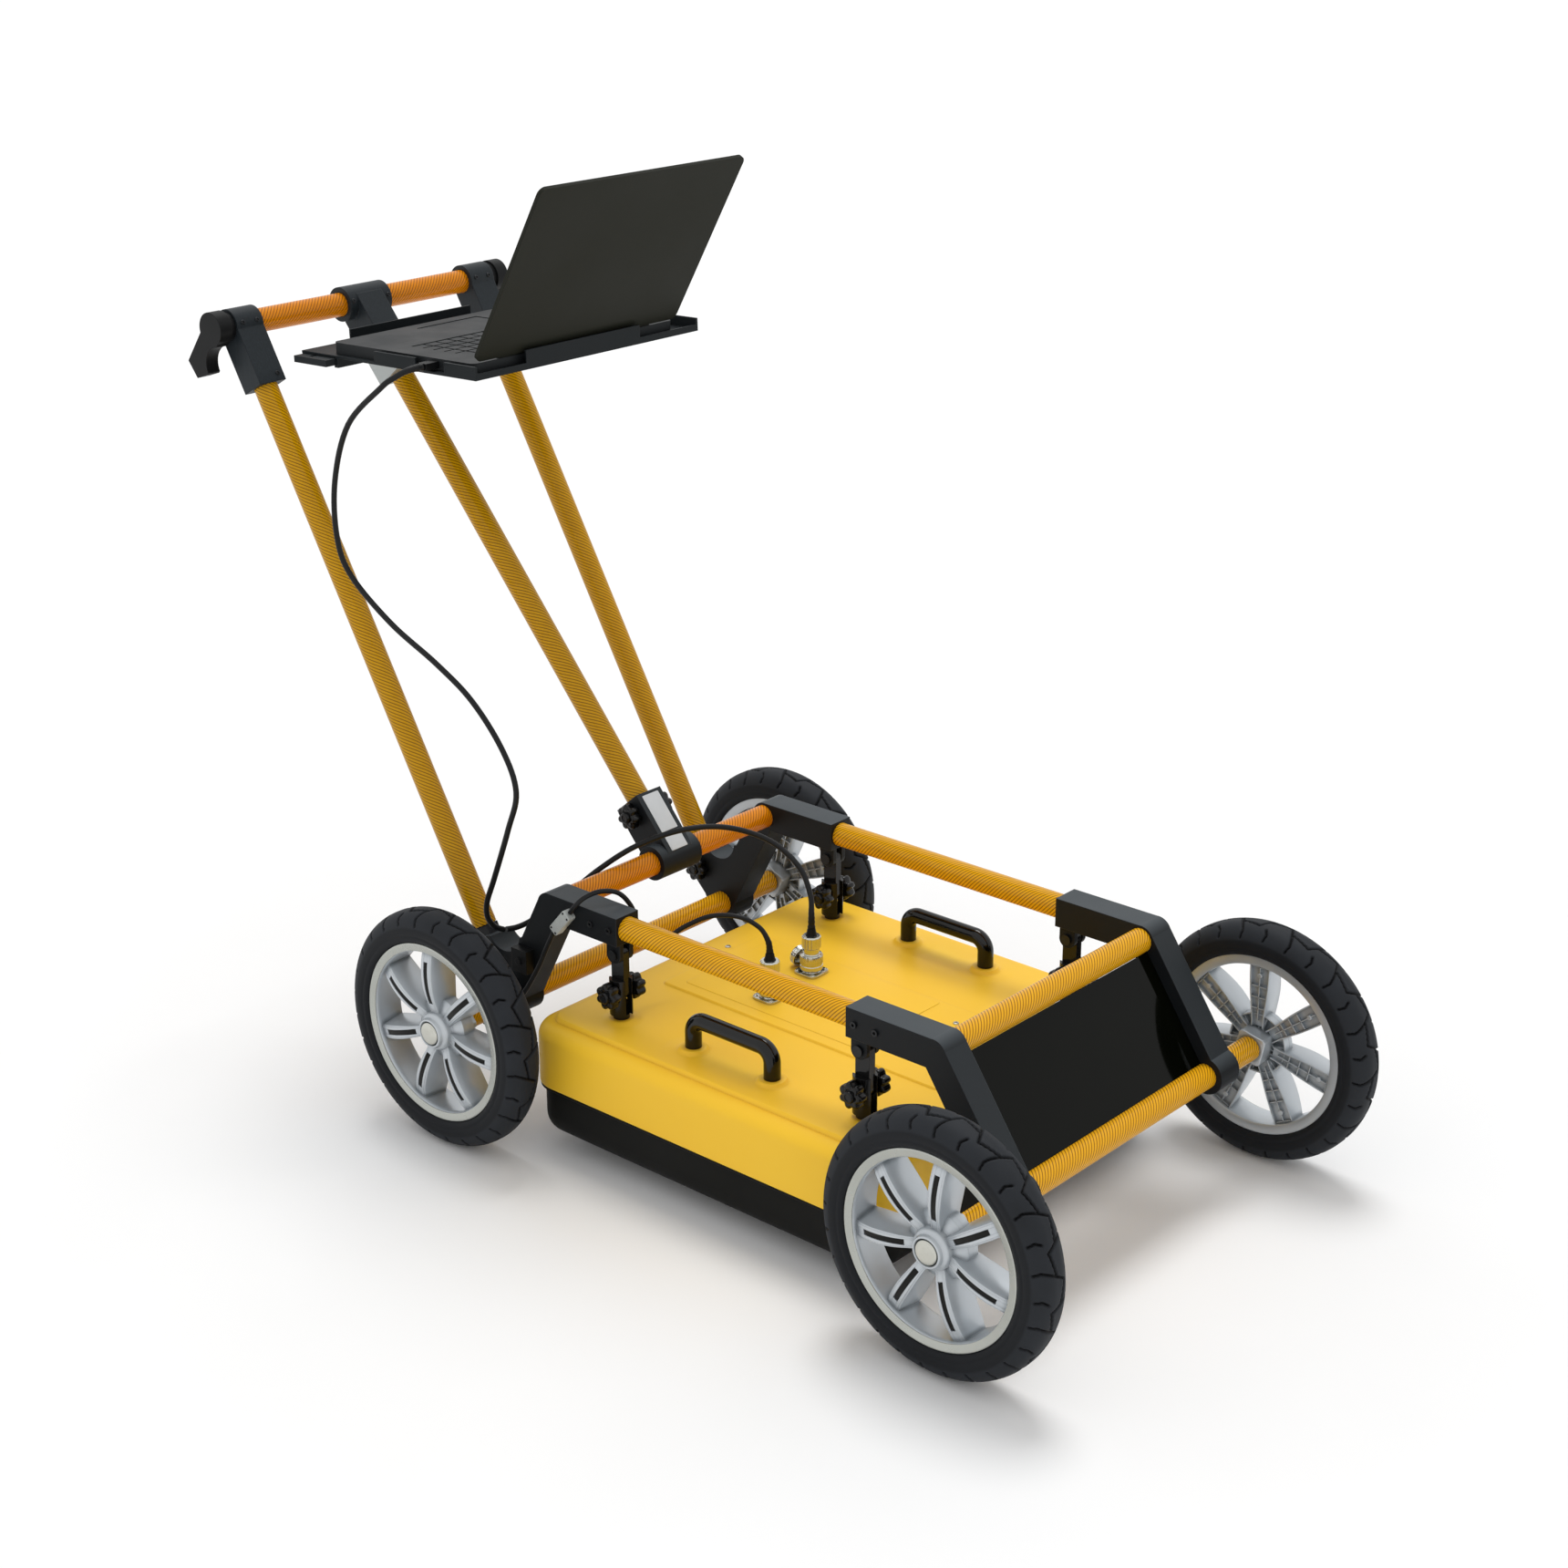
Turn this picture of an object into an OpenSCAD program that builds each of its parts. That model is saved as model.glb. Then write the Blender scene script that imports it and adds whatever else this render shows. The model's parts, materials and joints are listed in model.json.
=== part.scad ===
// Ground penetrating radar cart: a four-wheeled frame of tubes and brackets that carries a
// radar antenna just above the ground, with a leaning handle, a tray and a laptop computer.
// Millimetres. +X is the direction of travel, +Y is left and +Z is up.
// The origin is on the ground, midway between the axles.

/* [Wheels] */
// Outer diameter of each tyre
wheel_d = 300; // [290:1:320]
// Width of each tyre
tyre_w = 50; // [46:1:56]
// Radius of the tyre's shoulders
tyre_shoulder_r = 22; // [10:1:22]
// Outer diameter of the rim
rim_d = 226; // [216:1:236]
// Width of the rim
rim_w = 40; // [36:1:46]
// Thickness of the rim's ring
rim_wall = 11; // [8:1:14]
// Distance between the front and rear axles
wheelbase = 758; // [730:1:790]
// Distance from the cart's middle plane to the right tyres, which leave room for the encoder
right_wheel_y = 318; // [312:1:326]
// Distance from the cart's middle plane to the left tyres
left_wheel_y = 300; // [294:1:320]
// Number of spokes in each wheel
spokes = 7; // [5:1:8]
// Width of each spoke
spoke_w = 17; // [14:1:20]
// Wall of the spokes, which are hollow from behind
spoke_wall = 3; // [2:0.5:4]
// How far the spokes bulge outwards in the middle
spoke_bulge = 7; // [4:0.5:10]
// Width of the black inlay in each spoke
inlay_w = 5; // [3:0.5:7]
// Diameter of the hub
hub_d = 54; // [46:1:60]
// Diameter of the hub cap
hub_cap_d = 34; // [32:1:40]
// Diameter of the axle shafts, which is the bore of the bearings
shaft_d = 12; // [10:1:14]
// Outer diameter of the wheel bearings
bearing_d = 28; // [24:1:30]
// Width of the wheel bearings
bearing_w = 8; // [6:1:10]

/* [Frame] */
// Outer diameter of all frame and handle tubes
tube_d = 30; // [26:1:32]
// Wall of the tubes
tube_wall = 2; // [1.5:0.5:3]
// Height of the side rails above the ground
rail_z = 293; // [285:1:305]
// Distance from the middle of the left brackets to the middle of the right ones
frame_w = 387; // [370:1:395]
// Width of the brackets, across the cart
bracket_w = 37; // [36:1:44]
// Height of the bracket arms, which hold the side rails
arm_h = 36; // [35:1:42]
// Width of the sloping bracket legs
bracket_leg_w = 36; // [30:1:42]
// How far the rear upper tube lies ahead of the rear axle
rear_rake = 75; // [65:1:85]
// How far the front upper tube lies behind the front axle
front_rake = 98; // [85:1:110]
// Length of the rear bracket arms
rear_arm_len = 114; // [105:1:125]
// Length of the front bracket arms
front_arm_len = 121; // [110:1:130]
// Diameter of the bracket ends around the axle tubes
axle_boss_d = 46; // [40:1:52]
// Thickness of the front panel
panel_t = 4; // [2:0.5:6]

/* [Handle] */
// How far the handle's pivot lies behind the rear axle
pivot_back = 39; // [36:1:44]
// How far the handle's pivot lies above the rear axle
pivot_up = 40; // [37:1:45]
// Distance from the pivot to the handlebar
handle_len = 842; // [780:1:900]
// Angle between the handle's legs and the vertical
handle_lean = 30; // [25:1:33]
// How far the handle can lean further back
handle_travel = 10; // [5:1:12]
// Diameter of the lugs that carry the handle's pivots
lug_d = 38; // [34:1:40]
// Width of the hinge tongues in the lugs
tongue_w = 18; // [14:1:20]
// Diameter of the pivot bolts
pivot_bolt_d = 10; // [8:1:12]
// Width of the brackets at the ends of the handlebar
end_bracket_w = 40; // [36:1:46]
// Length of those brackets along the handle's legs
end_bracket_len = 84; // [78:1:110]
// Diameter of the star knobs
knob_d = 33; // [28:1:36]
// Thickness of the star knobs
knob_t = 14; // [10:1:18]

/* [Strut] */
// Width of the blocks on the strut, across the cart
strut_block_w = 42; // [38:1:48]
// Depth of those blocks
strut_block_depth = 45; // [40:1:50]
// Length of the socket block on the rear upper tube
socket_len = 83; // [75:1:95]
// Length of the collar under the socket block
socket_collar_w = 68; // [56:1:80]
// Length of the collar on the handlebar
top_collar_w = 68; // [60:1:100]
// Outer diameter of the collars
collar_d = 44; // [40:1:48]

/* [Tray and laptop] */
// How far the laptop's middle lies ahead of the handlebar
tray_ahead = 270; // [255:1:285]
// How far the tray's top lies below the handlebar
tray_below = 16.2; // [12:0.2:30]
// Angle of the tray, its front edge raised
tray_tilt = 2; // [0:0.5:5]
// Length of the tray, along the cart
tray_l = 313; // [300:1:330]
// Width of the tray, across the cart
tray_w = 374; // [360:1:400]
// Thickness of the tray
tray_t = 3; // [3:0.5:6]
// Width of the laptop
laptop_w = 334; // [310:1:340]
// Depth of the laptop
laptop_l = 252; // [230:1:255]
// Thickness of the laptop's base
laptop_base_t = 14; // [12:1:20]
// Thickness of the laptop's lid
laptop_lid_t = 5; // [4:0.5:8]
// Distance from the lid's hinge to its top edge
laptop_lid_l = 246; // [225:1:247]
// Angle between the open lid and the tray
lid_angle = 58; // [50:1:75]
// Length of the side shelf along the cart
shelf_l = 60; // [50:1:100]
// Gap between the side shelf and the tray's bracket
shelf_gap = 13.5; // [12.5:0.5:30]
// How far the side shelf stands out at the tray's side
shelf_out = 16; // [14:1:40]

/* [Antenna] */
// Length of the antenna housing
antenna_l = 552; // [520:1:560]
// Width of the antenna housing
antenna_w = 533; // [520:1:540]
// Gap between the antenna and the ground
ground_gap = 20; // [18:1:30]
// Height of the black base
base_h = 68; // [55:1:72]
// Height of the yellow cover
cover_h = 84; // [78:1:88]
// Place of the antenna's middle along the cart
antenna_x = -20; // [-25:1:-10]
// Radius of the housing's corners, seen from above
plan_r = 42; // [38:1:60]
// Radius of the cover's upper edge
cover_edge_r = 18; // [12:1:20]
// Wall of the housing
housing_wall = 4; // [3:0.5:6]
// Distance between the feet of each pull handle
pull_span = 122; // [100:1:140]
// Height of the pull handles
pull_h = 46; // [40:1:55]
// Diameter of the pull handles
pull_d = 20; // [16:1:22]
// Distance between the two pull handles
pull_gap = 397; // [385:1:410]
// Thickness of the hanger links
link_t = 10; // [8:1:12]
// Width of the hanger links
link_w = 20; // [18:1:22]
// Diameter of the slotted hanger sleeves
sleeve_d = 28; // [26:1:32]
// How far the antenna can be raised
raise_travel = 15; // [10:1:16]
// How far the antenna can be lowered
lower_travel = 10; // [5:1:12]

/* [Cables] */
// Diameter of the data cable
data_cable_d = 7; // [5:0.5:8]
// Diameter of the encoder cable
encoder_cable_d = 6; // [5:0.5:7]

/* [Hidden] */
$fn = 64;
front = 1;
rear = -1;
left = 1;
right = -1;
sides = [left, right];
ends = [front, rear];

// How far cuts run past the faces that they open
overrun = 1;
// How far the round end of a bar stands proud of its sides
end_proud = 0.2;
// Radial play of pieces that turn or slide on each other
running_clear = 0.05;
// Radial play of pieces that are fixed in each other
seat_clear = 0.02;
// Play between flat faces that pass each other
side_clear = 0.3;
// Radial play of the strut in its socket, which is opened to let the handle lean
strut_clear = 0.8;

// Places in the side view, as [x, z]
axle_z = wheel_d / 2;
rear_axle = [-wheelbase / 2, axle_z];
front_axle = [wheelbase / 2, axle_z];
rear_top = [rear_axle.x + rear_rake, rail_z];
front_top = [front_axle.x - front_rake, rail_z];
rear_arm_end = [rear_top.x + rear_arm_len, rail_z];
front_arm_end = [front_top.x - front_arm_len, rail_z];
pivot = rear_axle + [-pivot_back, pivot_up];
leg_dir = [-sin(handle_lean), cos(handle_lean)];
leaned_dir = [-sin(handle_lean + handle_travel), cos(handle_lean + handle_travel)];
bar = pivot + handle_len * leg_dir;
strut_dir = (bar - rear_top) / norm(bar - rear_top);
strut_len = norm(bar - rear_top);
strut_angle = atan2(-strut_dir.x, strut_dir.y);

// Places across the cart
bracket_y = frame_w / 2;
bracket_inner_y = bracket_y - bracket_w / 2;
bracket_outer_y = bracket_y + bracket_w / 2;
tube_r = tube_d / 2;
tube_bore_r = tube_r + seat_clear;

// Wheels
hub_in = 31;
hub_out = 24;
hub_cap_h = 5;
hub_cap_sunk = 2;
hub_cap_bevel = 2;
hub_web = 2;
spoke_end_z = 14;
spoke_back_z = -16;
spoke_rib_t = 2.5;
spoke_pockets = 3;
spoke_start_r = hub_d / 2 - spoke_wall;
spoke_end_r = rim_d / 2 - rim_wall / 2;
spoke_mid_r = (hub_d / 2 + rim_d / 2 - rim_wall) / 2;
spoke_half_len = (rim_d / 2 - rim_wall - hub_d / 2) / 2;
spoke_curve_r = (spoke_half_len ^ 2 + spoke_bulge ^ 2) / (2 * spoke_bulge);
spoke_curve_z = spoke_end_z + spoke_bulge - spoke_curve_r;
inlay_depth = 2;
inlay_sunk = 0.6;
inlay_start_gap = 3;
inlay_end_gap = 8;
rim_lip_w = 3;
rim_lip_h = 2;
bearing_in_z = -22;
bearing_out_z = 4;
axle_tube_gap = 0.5;
axle_nut_d = 19;
axle_nut_h = 7;
shaft_end_z = hub_out - hub_web - overrun - side_clear;
// Angle of the spokes of each wheel in the photographed rest
front_right_angle = 34;
rear_right_angle = 44;
front_left_angle = 12;
rear_left_angle = 27;

// Brackets
rail_seat = 70;
cross_seat = 22;
lug_rise = 32;
notch_r = 28;
notch_ahead = 33;
notch_above = 50;
notch_at = pivot + [notch_ahead, notch_above];
notch_leg_share = 0.34;
tongue_end = 40;
tongue_depth = 28;
slot_play = 3;
slot_reach = 60;
plug_len = 32;
screw_head_d = 8;
screw_head_h = 2.5;
screw_shank_d = 4;
screw_shank_len = 3;
screw_socket_d = 4;
arm_screw_gaps = [12, 42];
leg_screw_share = 0.55;
rear_screws = screw_places(rear_arm_end, rear_top, rear_axle);
front_screws = screw_places(front_arm_end, front_top, front_axle);

// Hangers
hanger_inset = 13;
hanger_xs = [rear_arm_end.x - hanger_inset, front_arm_end.x + hanger_inset];
hanger_drop = 34;
hanger_pin_z = rail_z - hanger_drop;
hanger_pin_d = 8;
pin_head_d = 13;
pin_head_h = 3;
clevis_cheek = 6;
clevis_w = 22;
link_len = 50;
knob_bolt_z = hanger_pin_z - link_len;
knob_bolt_d = 8;
sleeve_rise = 17;
sleeve_top_z = knob_bolt_z + sleeve_rise;
sleeve_neck_d = 20;
sleeve_neck_h = 8;
knob_gap = 0.5;
knob_lobes = 7;
knob_lobe_share = 0.135;
knob_lobe_r = knob_lobe_share * knob_d;
knob_boss_d = 14;
knob_boss_h = 3;

// Antenna
base_inset = 7;
base_edge_r = 27;
base_floor = 6;
ledge_h = 3;
ledge_inset = 1;
base_bottom = ground_gap;
cover_bottom = ground_gap + base_h;
cover_top = cover_bottom + cover_h;
cover_roof = 5;
plateau_inset = 21;
plateau_h = 3;
plateau_edge_r = 2;
band_w = 184;
band_l = 430;
band_h = 3;
band_edge_r = 2;
seam_gap = 0.3;
boss_d = 31;
boss_h = 6;
pull_bend_r = 17;
left_socket_back = 93;
left_socket_off = 48;
right_socket_back = 84;
right_socket_off = 39;
socket_places = [
    [antenna_x - left_socket_back, left_socket_off],
    [antenna_x - right_socket_back, -right_socket_off]
];
socket_flange_w = 34;
socket_flange_t = 3;
socket_flange_r = 8;
socket_barrel_d = 24;
socket_barrel_h = 13;
plug_ring_d = 29;
plug_ring_h = 20;
plug_ring_gap = 3;
plug_shell_d = 20;
plug_shell_h = 24;
plug_nut_d = 24;
plug_nut_h = 16;
plug_sleeve_d = 13;
plug_sleeve_h = 10;
board_l = 210;
board_w = 120;
board_t = 2;
board_post_d = 10;
board_post_h = 30;
board_post_inset = 10;
board_chip = [36, 36, 6];
chip_share = 0.25;
bowtie_l = 150;
bowtie_w = 170;
bowtie_t = 1.5;
bowtie_gap = 8;
bowtie_off = 120;

// Cable fittings near the right rear wheel
encoder_d = 54;
encoder_w = 36;
encoder_exit_d = 12;
encoder_exit_len = 5;
encoder_exit_angle = 30;
box_size = [14, 12, 38];
box_ahead = 30;
box_below = 8;
box_angle = 41;
box_at = rear_top + [box_ahead, -box_below];
clamp_size = [26, 30, 13];
clamp_at = rear_screws[len(arm_screw_gaps)];
clamp_screw_d = 9;
clamp_screw_h = 2;

// Handle and strut
tube_in_end = 60;
end_bracket_depth = 36;
end_bracket_head_d = 42;
bar_end_collar_d = 36;
bar_end_collar_w = 8;
bar_end_w = 18;
bar_end_head_d = 42;
lever_back = [-49, -45];
lever_tip = [-33, -65];
lever_inner = [-12, -58];
lever_root = [18, -8];
lever_hollow = [11, -45];
lever_hollow_r = 24;
bar_end_spigot_len = 20;
knob_seat = 66;
stud_d = 8;
strut_start = 24;
strut_end_gap = 25;
top_block_len = 58;
tray_block_drop = 94;
tray_block_len = 36;
riser_w = 24;
riser_foot_share = 0.3;
riser_plate = [120, 90, 6];
riser_plate_x = -80;

// Tray and laptop, in the tray's own frame: origin on its top, under the laptop's middle
tray_x = bar.x + tray_ahead;
tray_z = bar.y - tray_below;
tray_front_gap = 12;
tray_front = laptop_l / 2 + tray_front_gap;
tray_rear = tray_front - tray_l;
tray_near_gap = 6;
lip_t = 3;
tray_right = -laptop_w / 2 - tray_near_gap - lip_t;
tray_left = tray_right + tray_w;
lip_h = 5;
lip_mid_h = 20;
lip_mid_w = 190;
side_lip_h = 13;
side_lip_from = -40;
side_lip_to = 34;
front_lip_from = 84;
side_lip_spans = [[side_lip_from, side_lip_to], [front_lip_from, tray_front]];
rear_lip_w = 200;
rear_lip_h = 14;
laptop_corner_r = 9;
hinge_in = 4;
hinge_x = laptop_l / 2 - hinge_in;
hinge_z = laptop_base_t + side_clear * 2;
hinge_barrel_d = 6;
hinge_barrel_w = 40;
hinge_barrel_y = 105;
hinge_play = 0.8;
hinge_tab_t = 2;
hinge_tab_lap = 2;
lid_gap = 5;
key_rows = 5;
key_columns = 14;
key_pitch = 19;
key_size = 16;
key_h = 1.4;
key_well_depth = 2;
key_well_x = 26;
touchpad = [64, 100];
touchpad_x = -74;
touchpad_depth = 0.8;
screen_margin = 12;
screen_t = 1;
screen_depth = 1.2;
shelf_t = 8;
shelf_w = shelf_out - tray_right - riser_plate.y / 2 - shelf_gap;
shelf_rear_gap = 4;
shelf_rear = tray_rear + shelf_rear_gap;
shelf_slot = [6, 44];
shelf_slot_in = 7;
shelf_slot_ahead = 20;
runner_t = 3;
runner_foot = 4;
laptop_plug_size = [14, 20, 8];
laptop_plug_x = 59;
laptop_plug_z = 7;

// Routes of the cables, chosen by eye along the photographed runs
data_upper_route = [
    [-510, -188, 912], [-513, -205, 911], [-523, -219, 903], [-540, -227, 889],
    [-596, -232, 838], [-627, -232, 765], [-630, -232, 695], [-608, -232, 650],
    [-539, -232, 604], [-460, -232, 570], [-400, -232, 537], [-351, -232, 488],
    [-330, -232, 440], [-347, -232, 387], [-372, -234, 320], [-385, -236, 285],
    [-390, -232, 263], [-390, -222, 247], [-388, -208, 238]
];
data_lower_route = [
    [-388, -204, 237], [-384, -187, 236], [-375, -169, 243], [-353, -143, 265],
    [-325, -110, 301], [-294, -70, 331], [-258, -25, 348], [-225, 20, 346],
    [-185, 54, 328], [-145, 62, 302], [-122, 56, 274], [-114, 49, 253], [-113, 48, 235.5]
];
encoder_lead_route = [
    [-348, -232, 168], [-331, -231, 180], [-312, -225, 215], [-300, -220, 245], [-288, -218, 270]
];
encoder_cable_route = [
    [-260, -218, 301], [-252, -217, 312], [-243, -210, 323], [-232, -195, 329],
    [-221, -176, 324], [-213, -163, 305], [-209, -156, 280], [-206, -142, 259],
    [-202, -117, 251], [-191, -93, 262], [-168, -73, 275], [-139, -56, 277],
    [-117, -44, 266], [-106, -40, 250], [-104, -39, 235.5]
];
cable_sides = 8;
rings_per_span = 2;
first_normal = [1, 0.4, 0.3];

// Colours
aramid_gold = "#c79a3a";
anodised_black = "#2b2d31";
wheel_silver = "#c4c1ba";
tyre_black = "#26272a";
cover_yellow = "#f2c53d";
plastic_black = "#17181a";
nickel = "#c9ccce";
steel = "#a9adb1";
laptop_olive = "#3c3e38";
laptop_grey = "#2f3133";
panel_black = "#0d0e10";
tray_grey = "#54575a";
board_green = "#2f6b45";
copper = "#b9743d";
cable_black = "#1b1c1e";

// Flat shapes in the side view

module bar2d(p, q, w) {
    translate(p)
        rotate(atan2(q.y - p.y, q.x - p.x))
            translate([0, -w / 2])
                square([norm(q - p), w]);
}

module disc2d(p, r) {
    translate(p)
        circle(r);
}

// The round end of a bar as wide as w, a little proud so that the two outlines cross
module round_end2d(p, w) {
    disc2d(p, w / 2 + end_proud);
}

module rounded_rect(l, w, r) {
    square([l - 2 * r, w], center = true);
    square([l, w - 2 * r], center = true);
    for (sx = sides, sy = sides)
        translate([sx * (l / 2 - r), sy * (w / 2 - r)])
            circle(r);
}

// A flat shape of the side view, as thick as w, its middle at y
module in_plane(y, w) {
    translate([0, y, 0])
        rotate([90, 0, 0])
            linear_extrude(w, center = true)
                children();
}

// A round bar across the cart at a place in the side view, from y1 to y2
module across(p, y1, y2, r) {
    translate([p.x, min(y1, y2), p.y])
        rotate([-90, 0, 0])
            cylinder(h = abs(y2 - y1), r = r);
}

module pipe(len, r, wall) {
    difference() {
        cylinder(h = len, r = r);
        translate([0, 0, -overrun])
            cylinder(h = len + 2 * overrun, r = r - wall);
    }
}

module pipe_across(p, y1, y2) {
    translate([p.x, y1, p.y])
        rotate([-90, 0, 0])
            pipe(y2 - y1, tube_r, tube_wall);
}

// A block with rounded corners in plan and a rounded upper edge
module slab_side(w, h, edge_r) {
    translate([-w / 2, 0])
        square([w, h - edge_r]);
    translate([-w / 2 + edge_r, 0])
        square([w - 2 * edge_r, h]);
    for (s = sides)
        translate([s * (w / 2 - edge_r), h - edge_r])
            circle(edge_r);
}

module slab_corner(corner_r, h, edge_r) {
    square([corner_r, h - edge_r]);
    square([corner_r - edge_r, h]);
    lap = (corner_r - edge_r) / 2;
    translate([corner_r - edge_r, h - edge_r])
        intersection() {
            circle(edge_r);
            translate([-lap, -lap])
                square(edge_r + lap);
        }
}

module rounded_slab(l, w, h, corner_r, edge_r) {
    rotate([90, 0, 90])
        linear_extrude(l - 2 * corner_r, center = true)
            slab_side(w, h, edge_r);
    rotate([90, 0, 0])
        linear_extrude(w - 2 * corner_r, center = true)
            slab_side(l, h, edge_r);
    for (sx = sides, sy = sides)
        translate([sx * (l / 2 - corner_r), sy * (w / 2 - corner_r), 0])
            rotate_extrude()
                slab_corner(corner_r, h, edge_r);
}

// Wheels: local +Z points out of the cart, zero is the tyre's middle plane

function wheel_y(side) = side == left ? left_wheel_y : right_wheel_y;
function axle_tube_end(side) = wheel_y(side) - hub_in - axle_tube_gap;

module at_wheel(end, side) {
    translate([end * wheelbase / 2, side * wheel_y(side), axle_z])
        rotate([-90 * side, 0, 0])
            children();
}

module tyre(end, side) {
    bead_r = rim_d / 2 + seat_clear;
    shoulder_from_r = wheel_d / 2 - tyre_shoulder_r;
    flat_w = tyre_w - 2 * tyre_shoulder_r;
    lap = (shoulder_from_r - bead_r) / 2;
    color(tyre_black)
        at_wheel(end, side)
            rotate_extrude() {
                translate([bead_r, -tyre_w / 2])
                    square([shoulder_from_r - bead_r, tyre_w]);
                translate([bead_r, -flat_w / 2])
                    square([wheel_d / 2 - bead_r, flat_w]);
                for (s = sides)
                    intersection() {
                        translate([shoulder_from_r, s * flat_w / 2])
                            circle(tyre_shoulder_r);
                        translate([shoulder_from_r - lap, -tyre_w])
                            square([tyre_shoulder_r + 2 * lap, 2 * tyre_w]);
                    }
            }
}

// Side view of a spoke's front, lowered by sunk, between two radii
module spoke_side(from_r, to_r, back_z, sunk) {
    intersection() {
        translate([spoke_mid_r, spoke_curve_z])
            circle(spoke_curve_r - sunk, $fn = 180);
        translate([from_r, back_z])
            square([to_r - from_r, spoke_end_z + spoke_bulge - back_z]);
    }
}

module spoke_bar(from_r, to_r, back_z, sunk, w) {
    rotate([90, 0, 0])
        linear_extrude(w, center = true)
            spoke_side(from_r, to_r, back_z, sunk);
}

module spoke_pocket(i) {
    first_r = hub_d / 2 + spoke_wall;
    pitch = (rim_d / 2 - rim_wall - spoke_wall - first_r) / spoke_pockets;
    spoke_bar(
        first_r + i * pitch, first_r + (i + 1) * pitch - spoke_rib_t,
        spoke_back_z - overrun, spoke_wall + inlay_depth, spoke_w - 2 * spoke_wall
    );
}

module inlay(depth, sunk) {
    difference() {
        spoke_bar(
            hub_d / 2 + inlay_start_gap, rim_d / 2 - rim_wall - inlay_end_gap, 0, sunk, inlay_w
        );
        spoke_bar(
            hub_d / 2, rim_d / 2 - rim_wall, -overrun, depth, inlay_w + 2 * overrun
        );
    }
}

module rim(end, side, spoke_angle) {
    bore_r = bearing_d / 2 + running_clear;
    color(wheel_silver)
        at_wheel(end, side)
            difference() {
                union() {
                    translate([0, 0, -rim_w / 2])
                        pipe(rim_w, rim_d / 2, rim_wall);
                    translate([0, 0, rim_w / 2 - overrun])
                        pipe(rim_lip_h + overrun, rim_d / 2, rim_lip_w);
                    translate([0, 0, -hub_in])
                        cylinder(h = hub_in + hub_out, r = hub_d / 2);
                    for (i = [0:spokes - 1])
                        rotate(spoke_angle + i * 360 / spokes)
                            spoke_bar(spoke_start_r, spoke_end_r, spoke_back_z, 0, spoke_w);
                }
                for (i = [0:spokes - 1])
                    rotate(spoke_angle + i * 360 / spokes) {
                        inlay(inlay_depth, 0);
                        for (k = [0:spoke_pockets - 1])
                            spoke_pocket(k);
                    }
                translate([0, 0, -hub_in - overrun])
                    cylinder(h = hub_in + hub_out - hub_web, r = bore_r);
                translate([0, 0, hub_out - hub_cap_sunk])
                    cylinder(h = hub_cap_sunk + overrun, r = hub_cap_d / 2 + seat_clear);
            }
}

module wheel_trim(end, side, spoke_angle) {
    at_wheel(end, side) {
        color(plastic_black)
            for (i = [0:spokes - 1])
                rotate(spoke_angle + i * 360 / spokes)
                    inlay(inlay_depth, inlay_sunk);
        color(nickel)
            translate([0, 0, hub_out - hub_cap_sunk]) {
                cylinder(h = hub_cap_h - hub_cap_bevel + hub_cap_sunk, r = hub_cap_d / 2);
                translate([0, 0, hub_cap_h - hub_cap_bevel + hub_cap_sunk])
                    cylinder(h = hub_cap_bevel, r1 = hub_cap_d / 2, r2 = hub_cap_d / 2 - hub_cap_bevel);
            }
    }
}

module axle_tubes() {
    color(aramid_gold)
        for (axle = [rear_axle, front_axle])
            pipe_across(axle, -axle_tube_end(right), axle_tube_end(left));
}

module axle_shafts() {
    color(steel)
        for (end = ends) {
            axle = end == front ? front_axle : rear_axle;
            across(
                axle, -wheel_y(right) - shaft_end_z, wheel_y(left) + shaft_end_z, shaft_d / 2
            );
            for (side = sides)
                at_wheel(end, side) {
                    translate([0, 0, bearing_out_z + bearing_w + side_clear])
                        difference() {
                            cylinder(h = axle_nut_h, d = axle_nut_d, $fn = 6);
                            translate([0, 0, -overrun])
                                cylinder(h = axle_nut_h + 2 * overrun, r = shaft_d / 2 + seat_clear);
                        }
                    translate([0, 0, bearing_in_z + bearing_w + side_clear])
                        pipe(
                            bearing_out_z - bearing_in_z - bearing_w - 2 * side_clear,
                            shaft_d / 2 + tube_wall, tube_wall - seat_clear
                        );
                    translate([0, 0, -hub_in - axle_tube_gap - cross_seat])
                        pipe(
                            cross_seat, tube_r - tube_wall - seat_clear,
                            tube_r - tube_wall - shaft_d / 2 - 2 * seat_clear
                        );
                }
        }
}

module wheel_bearings() {
    color(steel)
        for (end = ends, side = sides, z = [bearing_in_z, bearing_out_z])
            at_wheel(end, side)
                translate([0, 0, z])
                    pipe(bearing_w, bearing_d / 2, (bearing_d - shaft_d) / 2 - seat_clear);
}

// Frame

module clevis_outline(x) {
    bar2d([x, rail_z], [x, hanger_pin_z], clevis_w);
    round_end2d([x, hanger_pin_z], clevis_w);
}

module clevis_gap(x, y) {
    arm_under = rail_z - arm_h / 2;
    drop = arm_under - hanger_pin_z + clevis_w / 2 + overrun;
    in_plane(y, link_t + 2 * side_clear)
        translate([x - clevis_w, arm_under - drop])
            square([2 * clevis_w, drop]);
    across(
        [x, hanger_pin_z], y - bracket_w, y + bracket_w, hanger_pin_d / 2 + seat_clear
    );
}

// Places of the screws on a bracket's outer face, from its arm's end and along its leg
function screw_places(arm_end, top, axle) = [
    for (gap = arm_screw_gaps) arm_end + gap * (top - arm_end) / norm(top - arm_end),
    top + leg_screw_share * (axle - top)
];

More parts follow.
